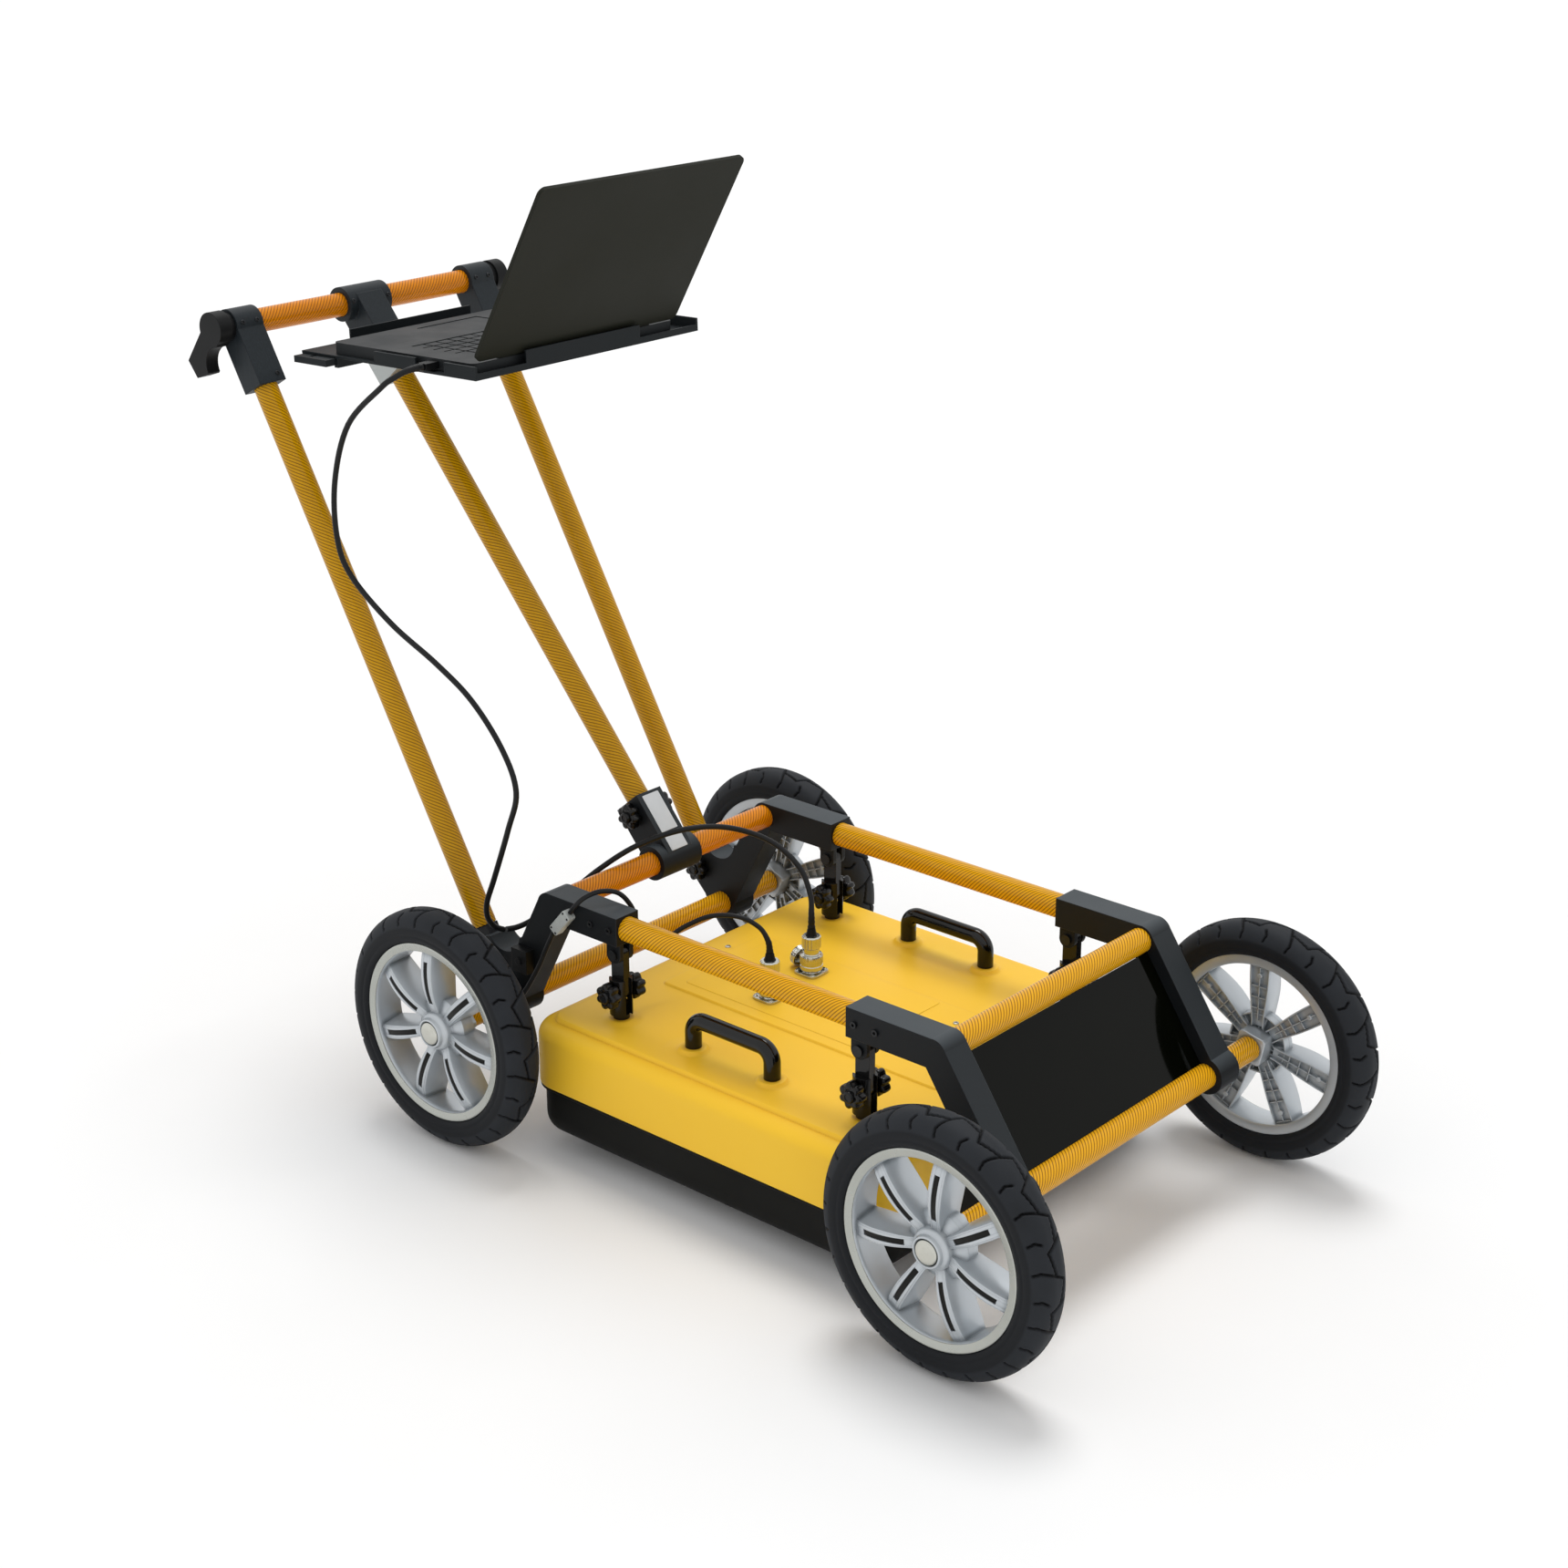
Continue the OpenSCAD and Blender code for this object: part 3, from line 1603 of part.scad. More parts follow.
rear_brackets();
front_brackets();
side_rails();
cross_tube(rear_top);  // rear_cross_tube
cross_tube(front_top);  // front_cross_tube
axle_tubes();
axle_shafts();
wheel_bearings();
front_panel();
frame_screws();
hanger_links();
wheel_encoder();
junction_box();
cable_clamp();
tyre(front, left);  // tyre_front_left
tyre(front, right);  // tyre_front_right
tyre(rear, left);  // tyre_rear_left
tyre(rear, right);  // tyre_rear_right
rim(front, left, front_left_angle);  // rim_front_left
rim(front, right, front_right_angle);  // rim_front_right
rim(rear, left, rear_left_angle);  // rim_rear_left
rim(rear, right, rear_right_angle);  // rim_rear_right
wheel_trim(front, left, front_left_angle);  // wheel_trim_front_left
wheel_trim(front, right, front_right_angle);  // wheel_trim_front_right
wheel_trim(rear, left, rear_left_angle);  // wheel_trim_rear_left
wheel_trim(rear, right, rear_right_angle);  // wheel_trim_rear_right
handle_legs();
leg_hinge_ends();
handlebar();
handle_end_brackets();
bar_ends();
pivot_knob(left);  // pivot_knob_left
pivot_knob(right);  // pivot_knob_right
strut_tube();
strut_top_clamp();
tray_bracket();
tray();
side_shelf();
laptop_base();
laptop_lid();
laptop_screen();
strut_socket();
strut_knobs();
antenna_cover();
antenna_base();
antenna_handles();
hanger_sleeves();
connector_sockets();
radar_board();
bowtie_plates();
height_knobs(front, left);  // height_knobs_front_left
height_knobs(front, right);  // height_knobs_front_right
height_knobs(rear, left);  // height_knobs_rear_left
height_knobs(rear, right);  // height_knobs_rear_right
cable(data_upper_route, data_cable_d);  // data_cable_upper
cable(data_lower_route, data_cable_d);  // data_cable_lower
cable(encoder_lead_route, encoder_cable_d);  // encoder_lead
cable(encoder_cable_route, encoder_cable_d);  // encoder_cable
laptop_plug();
antenna_plugs();
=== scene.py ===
import json
import math

import bmesh
import bpy
from mathutils import Matrix, Vector


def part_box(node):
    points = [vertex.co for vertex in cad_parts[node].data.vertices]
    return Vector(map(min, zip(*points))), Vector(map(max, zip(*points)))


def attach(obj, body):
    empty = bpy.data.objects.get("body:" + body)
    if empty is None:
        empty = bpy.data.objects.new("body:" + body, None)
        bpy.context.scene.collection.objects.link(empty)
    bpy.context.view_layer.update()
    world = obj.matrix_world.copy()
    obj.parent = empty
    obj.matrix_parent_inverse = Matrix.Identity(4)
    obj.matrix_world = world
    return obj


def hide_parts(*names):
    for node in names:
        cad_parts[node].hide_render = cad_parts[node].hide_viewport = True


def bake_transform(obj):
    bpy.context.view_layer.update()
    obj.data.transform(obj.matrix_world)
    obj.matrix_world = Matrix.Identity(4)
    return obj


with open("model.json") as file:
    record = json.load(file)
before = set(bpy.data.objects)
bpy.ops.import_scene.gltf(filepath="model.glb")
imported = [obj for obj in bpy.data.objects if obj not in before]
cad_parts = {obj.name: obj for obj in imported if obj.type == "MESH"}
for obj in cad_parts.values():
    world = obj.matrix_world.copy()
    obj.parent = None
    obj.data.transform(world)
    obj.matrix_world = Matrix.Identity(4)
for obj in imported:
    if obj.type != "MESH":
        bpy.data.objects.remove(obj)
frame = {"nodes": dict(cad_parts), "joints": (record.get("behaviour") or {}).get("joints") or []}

scene = bpy.context.scene
nodes = frame["nodes"]
joints = {joint["name"]: joint for joint in frame["joints"]}
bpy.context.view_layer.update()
MM = 0.001

# Places that the frame gives, in metres
pivot = Vector(joints["handle_tilt"]["pos_m"])
bar = Vector(joints["strut_swivel"]["pos_m"])
rear_top = Vector(joints["socket_swivel"]["pos_m"])
wheel_names = ("front_left", "front_right", "rear_left", "rear_right")
leg_dir = (bar - pivot).normalized()
strut_dir = (bar - rear_top).normalized()

# Sizes of the solids that pieces here stand for, in millimetres
tube_r = 15
tube_wall = 2
bracket_y = 193.5
bracket_half_w = 18.5
wheel_r = 150
tyre_w = 50
tyre_shoulder = 22
rim_r = 113
hub_in = 31
spokes = 7
spoke_angles = {"front_left": 12, "front_right": 34, "rear_left": 27, "rear_right": 44}
antenna_x = -20
cover_half = (276, 266.5)
cover_corner_r = 42
cover_low, cover_high = 88.3, 172
band_high = 175
socket_places = ((-113, 48), (-104, -39))
knob_r = 16.5
knob_lobes = 7

# Points closer than this become one
weld_mm = 0.02


# Camera

def make_camera():
    """The photograph's camera, solved from the wheels, the tubes and the lid."""
    data = bpy.data.cameras.new("photo_camera")
    data.sensor_width = 36
    data.lens = 61.95
    data.clip_end = 100
    camera = bpy.data.objects.new("photo_camera", data)
    scene.collection.objects.link(camera)
    place = Vector((1.8545, -2.2378, 1.5995))
    towards = Vector((-0.6156, 0.6994, -0.3632))
    roll_degrees = -0.1
    turn = towards.to_track_quat("-Z", "Y").to_matrix().to_4x4()
    roll = Matrix.Rotation(math.radians(roll_degrees), 4, "Z")
    camera.matrix_world = Matrix.Translation(place) @ turn @ roll
    scene.camera = camera


make_camera()


# Nodes and materials

def add(tree, kind, inputs=None, **settings):
    """A node with its settings; each input is a value or a socket to link from."""
    node = tree.nodes.new(kind)
    for name, value in settings.items():
        setattr(node, name, value)
    for socket, value in (inputs or {}).items():
        if isinstance(value, bpy.types.NodeSocket):
            tree.links.new(value, node.inputs[socket])
        else:
            node.inputs[socket].default_value = value
    return node


def linear(colour):
    """A colour written as sRGB hex, in the linear values that shaders take."""
    values = [int(colour[i:i + 2], 16) / 255 for i in (1, 3, 5)]
    return (*(v / 12.92 if v <= 0.04045 else ((v + 0.055) / 1.055) ** 2.4 for v in values), 1)


def start_material(name):
    material = bpy.data.materials.new(name)
    material.use_nodes = True
    material.node_tree.nodes.clear()
    return material, material.node_tree


def end_material(tree, inputs):
    shader = add(tree, "ShaderNodeBsdfPrincipled", inputs)
    add(tree, "ShaderNodeOutputMaterial", {"Surface": shader.outputs[0]})


def surface(
    name, colour, other, patch_mm, grain_mm, grain_depth_mm, roughness,
    edge_mm=0.6, pale_edge=None, painted_sheen=None, crease_shade=None, metallic=0.0, specular=0.5
):
    """A finish that varies between two colours in patches, with a fine grain and soft edges.
    Corners may be paler, as wear and painted highlight; faces that look up may get a painted sheen, and
    creases a painted shade."""
    material, tree = start_material(name)
    place = add(tree, "ShaderNodeTexCoord").outputs["Object"]
    patch = add(tree, "ShaderNodeTexNoise", {"Vector": place, "Scale": 1 / (patch_mm * MM), "Detail": 4})
    grain = add(tree, "ShaderNodeTexNoise", {"Vector": place, "Scale": 1 / (grain_mm * MM), "Detail": 2})
    rough = add(
        tree, "ShaderNodeMapRange",
        {"Value": patch.outputs["Fac"], "From Min": 0.3, "From Max": 0.7,
         "To Min": roughness[0], "To Max": roughness[1]}
    )
    edge = add(tree, "ShaderNodeBevel", {"Radius": edge_mm * MM}, samples=6)
    flat = add(tree, "ShaderNodeNewGeometry")
    layers = [(patch.outputs["Fac"], other)]
    # painted sheen: faces that look up are tinted paler, as a sky reflection would light them
    if painted_sheen:
        axes = add(tree, "ShaderNodeSeparateXYZ", {0: flat.outputs["Normal"]})
        upward_share = add(
            tree, "ShaderNodeMapRange",
            {"Value": axes.outputs[2], "From Min": 0.4, "From Max": 1.0, "To Max": 0.8}
        )
        layers.append((upward_share.outputs[0], painted_sheen))
    # painted shade: creases darkened where the occlusion node finds them closed in
    if crease_shade:
        crease_mm = 7
        open_share = add(tree, "ShaderNodeAmbientOcclusion", {"Distance": crease_mm * MM}, samples=6)
        crease = add(
            tree, "ShaderNodeMapRange",
            {"Value": open_share.outputs["AO"], "From Min": 0.92, "From Max": 0.55, "To Max": 0.75}
        )
        layers.append((crease.outputs[0], crease_shade))
    # pale edges, partly wear and partly a painted highlight on the rounded edges
    if pale_edge:
        turned = add(
            tree, "ShaderNodeVectorMath",
            {0: flat.outputs["Normal"], 1: edge.outputs["Normal"]}, operation="DOT_PRODUCT"
        )
        corner = add(
            tree, "ShaderNodeMapRange",
            {"Value": turned.outputs["Value"], "From Min": 0.97, "From Max": 0.8, "To Max": 0.55}
        )
        pale_edge_share = add(
            tree, "ShaderNodeMath", {0: corner.outputs[0], 1: patch.outputs["Fac"]}, operation="MULTIPLY"
        )
        layers.append((pale_edge_share.outputs[0], pale_edge))
    tint = linear(colour)
    for share, layer in layers:
        tint = add(
            tree, "ShaderNodeMix", {0: share, 6: tint, 7: linear(layer)}, data_type="RGBA"
        ).outputs[2]
    bump = add(
        tree, "ShaderNodeBump",
        {"Height": grain.outputs["Fac"], "Distance": grain_depth_mm * MM, "Strength": 0.6,
         "Normal": edge.outputs["Normal"]}
    )
    end_material(tree, {
        "Base Color": tint, "Roughness": rough.outputs[0], "Normal": bump.outputs["Normal"],
        "Metallic": metallic, "Specular IOR Level": specular,
    })
    return material


def woven_tube(name, aramid, carbon):
    """Aramid and carbon fibre in a twill under clear resin: fine dark lines slanting around the tube.
    The real lines are about 2.8 mm apart along the tube; they are drawn coarser so that they show."""
    material, tree = start_material(name)
    uv = add(tree, "ShaderNodeUVMap", uv_map="Weave").outputs["UV"]
    axes = add(tree, "ShaderNodeSeparateXYZ", {0: uv})
    line_mm = 5
    starts = 17
    clouds_per_m = 60
    line_depth_mm = 0.03
    along = add(tree, "ShaderNodeMath", {0: axes.outputs[1], 1: 1 / (line_mm * MM)}, operation="MULTIPLY")
    around = add(
        tree, "ShaderNodeMath",
        {0: axes.outputs[0], 1: starts / (2 * math.pi * tube_r * MM), 2: along.outputs[0]},
        operation="MULTIPLY_ADD"
    )
    wave = add(tree, "ShaderNodeMath", {0: around.outputs[0], 1: 0.5}, operation="PINGPONG")
    hatch = add(
        tree, "ShaderNodeMapRange",
        {"Value": wave.outputs[0], "From Min": 0.06, "From Max": 0.24}, interpolation_type="SMOOTHSTEP"
    )
    cloud = add(tree, "ShaderNodeTexNoise", {"Vector": uv, "Scale": clouds_per_m, "Detail": 3})
    fibre = add(
        tree, "ShaderNodeMix",
        {0: cloud.outputs["Fac"], 6: linear(aramid[0]), 7: linear(aramid[1])}, data_type="RGBA"
    )
    tint = add(
        tree, "ShaderNodeMix",
        {0: hatch.outputs[0], 6: linear(carbon), 7: fibre.outputs[2]}, data_type="RGBA"
    )
    bump = add(
        tree, "ShaderNodeBump",
        {"Height": hatch.outputs[0], "Distance": line_depth_mm * MM, "Strength": 0.2}
    )
    rough = add(
        tree, "ShaderNodeMapRange", {"Value": cloud.outputs["Fac"], "To Min": 0.26, "To Max": 0.36}
    )
    end_material(tree, {
        "Base Color": tint.outputs[2], "Roughness": rough.outputs[0], "Normal": bump.outputs["Normal"],
        "Specular IOR Level": 0.12, "Coat Weight": 0.15, "Coat Roughness": 0.1, "Coat IOR": 1.5,
    })
    return material


def tyre_rubber():
    """Natural rubber, moulded: a blue-grey tread that is a painted reflection, grooves painted black as
    shade and a sidewall painted half as dark.
    The mesh says where each lies, from 0 on the tread to 1 in the grooves."""
    material, tree = start_material("moulded_tyre_rubber")
    sheen_patch_mm = 35
    grain_mm, grain_depth_mm = 0.7, 0.08
    place = add(tree, "ShaderNodeTexCoord").outputs["Object"]
    painted_sheen = add(tree, "ShaderNodeTexNoise", {"Vector": place, "Scale": 1 / (sheen_patch_mm * MM), "Detail": 5})
    grain = add(tree, "ShaderNodeTexNoise", {"Vector": place, "Scale": 1 / (grain_mm * MM), "Detail": 2})
    # the blue-grey of the tread is a painted reflection, varied in patches
    skin = add(
        tree, "ShaderNodeMix",
        {0: painted_sheen.outputs["Fac"], 6: linear("#1f2124"), 7: linear("#2d3035")}, data_type="RGBA"
    )
    # painted shade: black in the grooves and half as dark on the sidewall, where the mesh marks it
    depth = add(tree, "ShaderNodeAttribute", attribute_name="shade").outputs["Fac"]
    tint = add(
        tree, "ShaderNodeMix", {0: depth, 6: skin.outputs[2], 7: linear("#030304")}, data_type="RGBA"
    )
    rough = add(tree, "ShaderNodeMapRange", {"Value": painted_sheen.outputs["Fac"], "To Min": 0.5, "To Max": 0.72})
    bump = add(
        tree, "ShaderNodeBump",
        {"Height": grain.outputs["Fac"], "Distance": grain_depth_mm * MM, "Strength": 0.5}
    )
    end_material(tree, {
        "Base Color": tint.outputs[2], "Roughness": rough.outputs[0], "Normal": bump.outputs["Normal"],
        "Specular IOR Level": 0.15,
    })
    return material


def brushed_black(name, colour, other, along):
    """Extruded aluminium, brushed lengthwise and anodised black: thin blue-grey streaks along the grain."""
    material, tree = start_material(name)
    streak_mm, streak_depth_mm = 1.6, 0.05
    # The pattern is this much slower along the grain
    stretch = 0.03
    edge_mm = 2
    place = add(tree, "ShaderNodeTexCoord").outputs["Object"]
    lean = Vector((0, 0, 1)).rotation_difference(along).inverted().to_euler()
    grain = add(
        tree, "ShaderNodeMapping",
        {"Vector": place, "Rotation": lean, "Scale": (1, 1, stretch)}
    )
    streak = add(
        tree, "ShaderNodeTexNoise",
        {"Vector": grain.outputs[0], "Scale": 1 / (streak_mm * MM), "Detail": 3}
    )
    tint = add(
        tree, "ShaderNodeMix",
        {0: streak.outputs["Fac"], 6: linear(colour), 7: linear(other)}, data_type="RGBA"
    )
    rough = add(
        tree, "ShaderNodeMapRange", {"Value": streak.outputs["Fac"], "To Min": 0.36, "To Max": 0.55}
    )
    edge = add(tree, "ShaderNodeBevel", {"Radius": edge_mm * MM}, samples=6)
    bump = add(
        tree, "ShaderNodeBump",
        {"Height": streak.outputs["Fac"], "Distance": streak_depth_mm * MM, "Strength": 0.5,
         "Normal": edge.outputs["Normal"]}
    )
    end_material(tree, {
        "Base Color": tint.outputs[2], "Roughness": rough.outputs[0], "Normal": bump.outputs["Normal"],
        "Specular IOR Level": 0.18,
    })
    return material


# Resin over aramid, one finish in three copies: rails, axles and front tube gold; the orange of the
# handlebar and rear tube and the olive of the legs and strut are painted reflections
gold_weave = woven_tube("aramid_twill_gold", ("#f2b41a", "#e4a40e"), "#946004")
orange_reflection_weave = woven_tube("aramid_twill_painted_orange_reflection", ("#ee960e", "#de8206"), "#a05a04")
olive_reflection_weave = woven_tube("aramid_twill_painted_olive_reflection", ("#d6a008", "#c48c04"), "#805a02")

# Each surface has two colours, the size of its patches, the size and depth of its grain in millimetres,
# and the range of its roughness

# Bead-blasted and black-anodised aluminium: near black, with pale corners that are wear and painted
# highlight, and a painted blue-grey sheen on faces that look up
anodised = surface(
    "black_anodised_aluminium", "#121416", "#1a1d20", 60, 0.5, 0.05, (0.4, 0.52),
    edge_mm=1.6, pale_edge="#5a5f64", painted_sheen="#4a5054", specular=0.15
)
handle_black = brushed_black("brushed_black_aluminium", "#171b1e", "#2a3136", leg_dir)
# Gloss-lacquered steel of the hangers and their sleeves: black with sharp highlights
lacquer = surface(
    "black_gloss_lacquer", "#0c0c0c", "#121212", 40, 1, 0.01, (0.14, 0.24), edge_mm=0.8, specular=0.3
)
# Black-oxide steel of the screws: dark grey with a dull shine
black_steel = surface(
    "black_oxide_steel", "#1b1c1e", "#2a2c2f", 8, 0.4, 0.02, (0.3, 0.45), edge_mm=0.3, metallic=0.6
)
# Turned steel of the shafts, bearings and bolts: bright grey with a soft shine
turned_steel = surface("turned_steel", "#9a9da1", "#b3b6b9", 15, 0.3, 0.02, (0.25, 0.38), metallic=1.0)
# Black acrylic sheet: smooth and deep, with a mirror gloss
acrylic = surface(
    "black_acrylic_sheet", "#030402", "#070803", 90, 3, 0.004, (0.03, 0.07), edge_mm=0.4, specular=0.1
)
# Black ABS, moulded with a fine satin grain
black_abs = surface(
    "black_satin_abs", "#0e0f10", "#151617", 40, 0.5, 0.06, (0.38, 0.5), edge_mm=1, specular=0.15
)
# Glass-filled nylon of the star knobs: black with a wet-looking gloss on its lobes
nylon = surface("black_nylon", "#08080a", "#0e0f10", 20, 0.6, 0.05, (0.2, 0.32), edge_mm=0.5, specular=0.3)
# Gloss ABS of the pull handles: black with a long clear highlight
gloss_abs = surface(
    "black_gloss_abs", "#060706", "#0b0c0b", 50, 1, 0.01, (0.08, 0.15), edge_mm=1, specular=0.35
)
rubber = tyre_rubber()
# Silver-painted cast wheel: fine metal flake under satin lacquer, with painted shade darkening its creases
wheel_paint = surface(
    "silver_wheel_paint", "#b9bfc4", "#c9ced2", 50, 0.5, 0.015, (0.3, 0.4),
    edge_mm=0.8, crease_shade="#757b80", metallic=0.55
)
# The rim's lip, machined and lacquered: a bright line around the wheel
bright_lip = surface(
    "machined_rim_lip", "#a5a8a2", "#b9bbb5", 60, 0.4, 0.005, (0.24, 0.3), edge_mm=0.3, metallic=0.9
)
# Plastic strips in the spokes: matt black against the silver; the same black fills the gap around the hub
# cap as painted shade
inlay_and_gap_black = surface(
    "black_inlay_plastic_and_gap_shade", "#10100e", "#171715", 15, 0.5, 0.03, (0.35, 0.5), edge_mm=0.3, specular=0.15
)
# Polished hub caps and nickel-plated connectors: bright, nearly colourless
nickel = surface(
    "bright_nickel_plate", "#b9b9b0", "#cecec6", 10, 0.4, 0.01, (0.14, 0.24), edge_mm=0.3, metallic=1.0
)
# Moulded shell of the little junction box: light grey and satin
grey_shell = surface("light_grey_moulding", "#a9adab", "#bcc0bd", 9, 0.5, 0.03, (0.4, 0.5), edge_mm=0.4)
# Yellow vacuum-formed ABS: satin, with a faint orange peel and painted shade in its creases and steps
yellow_shell = surface(
    "yellow_formed_abs", "#fec829", "#ffcf36", 140, 3, 0.03, (0.4, 0.48),
    edge_mm=0.5, crease_shade="#b07a12", specular=0.3
)
# Black polyethylene of the base, rougher, its edges paler: scuffs and painted highlight
black_pe = surface(
    "black_moulded_polyethylene", "#0d0d0b", "#141412", 70, 1.2, 0.1, (0.5, 0.65),
    edge_mm=2, pale_edge="#2a2a27", specular=0.12
)
# Powder-coated tray: near black with a fine texture, its pale edges wear and painted highlight
powder_coat = surface(
    "dark_powder_coat", "#14181a", "#1d2225", 60, 0.8, 0.08, (0.46, 0.6),
    edge_mm=1, pale_edge="#4b5054", specular=0.15
)
# Bare cast aluminium of the block under the tray: dull pale grey
bare_aluminium = surface(
    "bare_cast_aluminium", "#a3a8a8", "#b7bcbb", 15, 0.6, 0.04, (0.4, 0.55), edge_mm=1, metallic=0.7
)
# Soft-touch paint on the laptop's lid: black with an olive cast
soft_touch = surface(
    "olive_soft_touch_paint", "#1d1e17", "#24251e", 150, 0.4, 0.02, (0.5, 0.6), edge_mm=0.5, specular=0.1
)
# Laptop base and keys: matt charcoal plastic
laptop_plastic = surface(
    "charcoal_laptop_plastic", "#1a1d1f", "#222527", 50, 0.4, 0.03, (0.46, 0.58), edge_mm=0.6, specular=0.2
)
# The switched-off display behind its glass: nearly black and glossy
display_glass = surface(
    "dark_display_glass", "#07080a", "#0a0c0f", 200, 2, 0.002, (0.08, 0.12), edge_mm=0.1
)
# Satin aluminium foil of the bare plates on the strut's socket: pale, with a broad sheen
foil_plate = surface(
    "satin_aluminium_foil", "#c6c9cb", "#d6d8d9", 20, 0.5, 0.01, (0.35, 0.45), edge_mm=0.2, metallic=0.3
)
# Fibreglass board under solder mask: satin green
solder_mask = surface("green_solder_mask", "#1d5a35", "#257043", 12, 0.8, 0.04, (0.35, 0.5), edge_mm=0.2)
# Bare copper foil: reddish metal
copper_foil = surface(
    "bare_copper_foil", "#b8703c", "#a85f30", 15, 0.6, 0.02, (0.3, 0.45), edge_mm=0.1, metallic=1.0
)
# Polyurethane cable jacket: black with a satin shine
cable_jacket = surface(
    "polyurethane_cable_jacket", "#131415", "#1b1c1e", 30, 1.2, 0.03, (0.36, 0.48),
    edge_mm=0.1, specular=0.2
)


# Meshes

def finish_mesh(mesh, material, smooth_angle=35):
    if material:
        mesh.materials.clear()
        mesh.materials.append(material)
    mesh.polygons.foreach_set("use_smooth", [True] * len(mesh.polygons))
    mesh.set_sharp_from_angle(angle=math.radians(smooth_angle))
    mesh.update()
    return mesh


def piece(name, mesh, body=None, replaced=()):
    """A finished mesh as an object at the origin that rides on a body."""
    obj = bpy.data.objects.new(name, mesh)
    scene.collection.objects.link(obj)
    if body:
        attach(obj, body)
    if replaced:
        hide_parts(*replaced)
    return obj


def new_mesh(name, points, faces):
    mesh = bpy.data.meshes.new(name)
    mesh.from_pydata([Vector(p) * MM for p in points], [], faces)
    mesh.update()
    return mesh


def outward(mesh):
    """Merges doubles and turns all faces outwards."""
    work = bmesh.new()
    work.from_mesh(mesh)
    bmesh.ops.remove_doubles(work, verts=work.verts, dist=weld_mm * MM)
    bmesh.ops.recalc_face_normals(work, faces=work.faces)
    work.to_mesh(mesh)
    work.free()
    return mesh


def joined(name, meshes):
    """Several meshes as one, each keeping its materials."""
    work = bmesh.new()
    materials = []
    for mesh in meshes:
        first = len(work.faces)
        offset = len(materials)
        materials += list(mesh.materials)
        work.from_mesh(mesh)
        work.faces.ensure_lookup_table()
        for face in work.faces[first:]:
            face.material_index += offset
    whole = bpy.data.meshes.new(name)
    work.to_mesh(whole)
    work.free()
    for material in materials:
        whole.materials.append(material)
    return whole


def loft(name, rings):
    """A closed skin over rings of points in millimetres, with its first and last ring filled."""
    count = len(rings[0])
    points = [point for ring_points in rings for point in ring_points]
    faces = []
    for i in range(len(rings) - 1):
        for k in range(count):
            n = (k + 1) % count
            faces.append((i * count + k, i * count + n, (i + 1) * count + n, (i + 1) * count + k))
    last = (len(rings) - 1) * count
    faces.append(tuple(range(count)))
    faces.append(tuple(last + k for k in reversed(range(count))))
    return outward(new_mesh(name, points, faces))


def rounded_outline(half_x, half_y, r, steps=6):
    """Points around a rounded rectangle, with the given steps in each corner."""
    points = []
    for turn, (sx, sy) in enumerate(((1, 1), (-1, 1), (-1, -1), (1, -1))):
        for k in range(steps + 1):
            angle = math.pi / 2 * (turn + k / steps)
            x = sx * (half_x - r) + r * math.cos(angle)
            points.append((x, sy * (half_y - r) + r * math.sin(angle)))
    return points


def stacked(name, half, r, rows, middle=(0, 0), steps=6):
    """A skin over rounded rectangles: each row says how far its outline is inset, and its height."""
    rings = []
    for inset, z in rows:
        outline = rounded_outline(half[0] - inset, half[1] - inset, r - inset, steps)
        rings.append([(x + middle[0], y + middle[1], z) for x, y in outline])
    return loft(name, rings)


def plate(name, half, r, thick, soft):
    """A flat plate with round corners and softened edges, lying on z = 0."""
    rows = ((0, 0), (0, thick - soft), (soft * 0.3, thick - soft * 0.3), (soft, thick))
    return stacked(name, half, r, rows)


def box_mesh(name, lo, hi):
    """A plain block between two corners, for parts of larger meshes."""
    points = [(x, y, z) for x in (lo[0], hi[0]) for y in (lo[1], hi[1]) for z in (lo[2], hi[2])]
    faces = [(0, 1, 3, 2), (4, 6, 7, 5), (0, 4, 5, 1), (2, 3, 7, 6), (0, 2, 6, 4), (1, 5, 7, 3)]
    return outward(new_mesh(name, points, faces))


def facing(place, out, up):
    """A frame at a place in metres: its Z points out of a face and its Y goes up the face."""
    z = Vector(out).normalized()
    x = Vector(up).cross(z).normalized()
    matrix = Matrix((x, z.cross(x), z)).transposed().to_4x4()
    matrix.translation = place
    return matrix


def moved(mesh, matrix):
    """A copy of a mesh in another place."""
    copy = mesh.copy()
    copy.transform(matrix)
    return copy


def shifted(mesh, x, y, z):
    """A copy of a mesh, shifted by millimetres."""
    return moved(mesh, Matrix.Translation(Vector((x, y, z)) * MM))


def four_corners(x, y):
    return [(sx * x, sy * y) for sx in (1, -1) for sy in (1, -1)]


def lathe(name, profile, segments=72):
    """A profile of radius and height, in millimetres, turned about Z. It is a loop, or it runs from the
    axis back to the axis."""
    count = len(profile)
    strips = count - 1 if profile[0][0] == 0 else count
    points = []
    for i in range(segments):
        angle = 2 * math.pi * i / segments
        points += [(r * math.cos(angle), r * math.sin(angle), z) for r, z in profile]
    faces = []
    for i in range(segments):
        a = i * count
        b = ((i + 1) % segments) * count
        for k in range(strips):
            n = (k + 1) % count
            faces.append((a + k, b + k, b + n, a + n))
    return outward(new_mesh(name, points, faces))


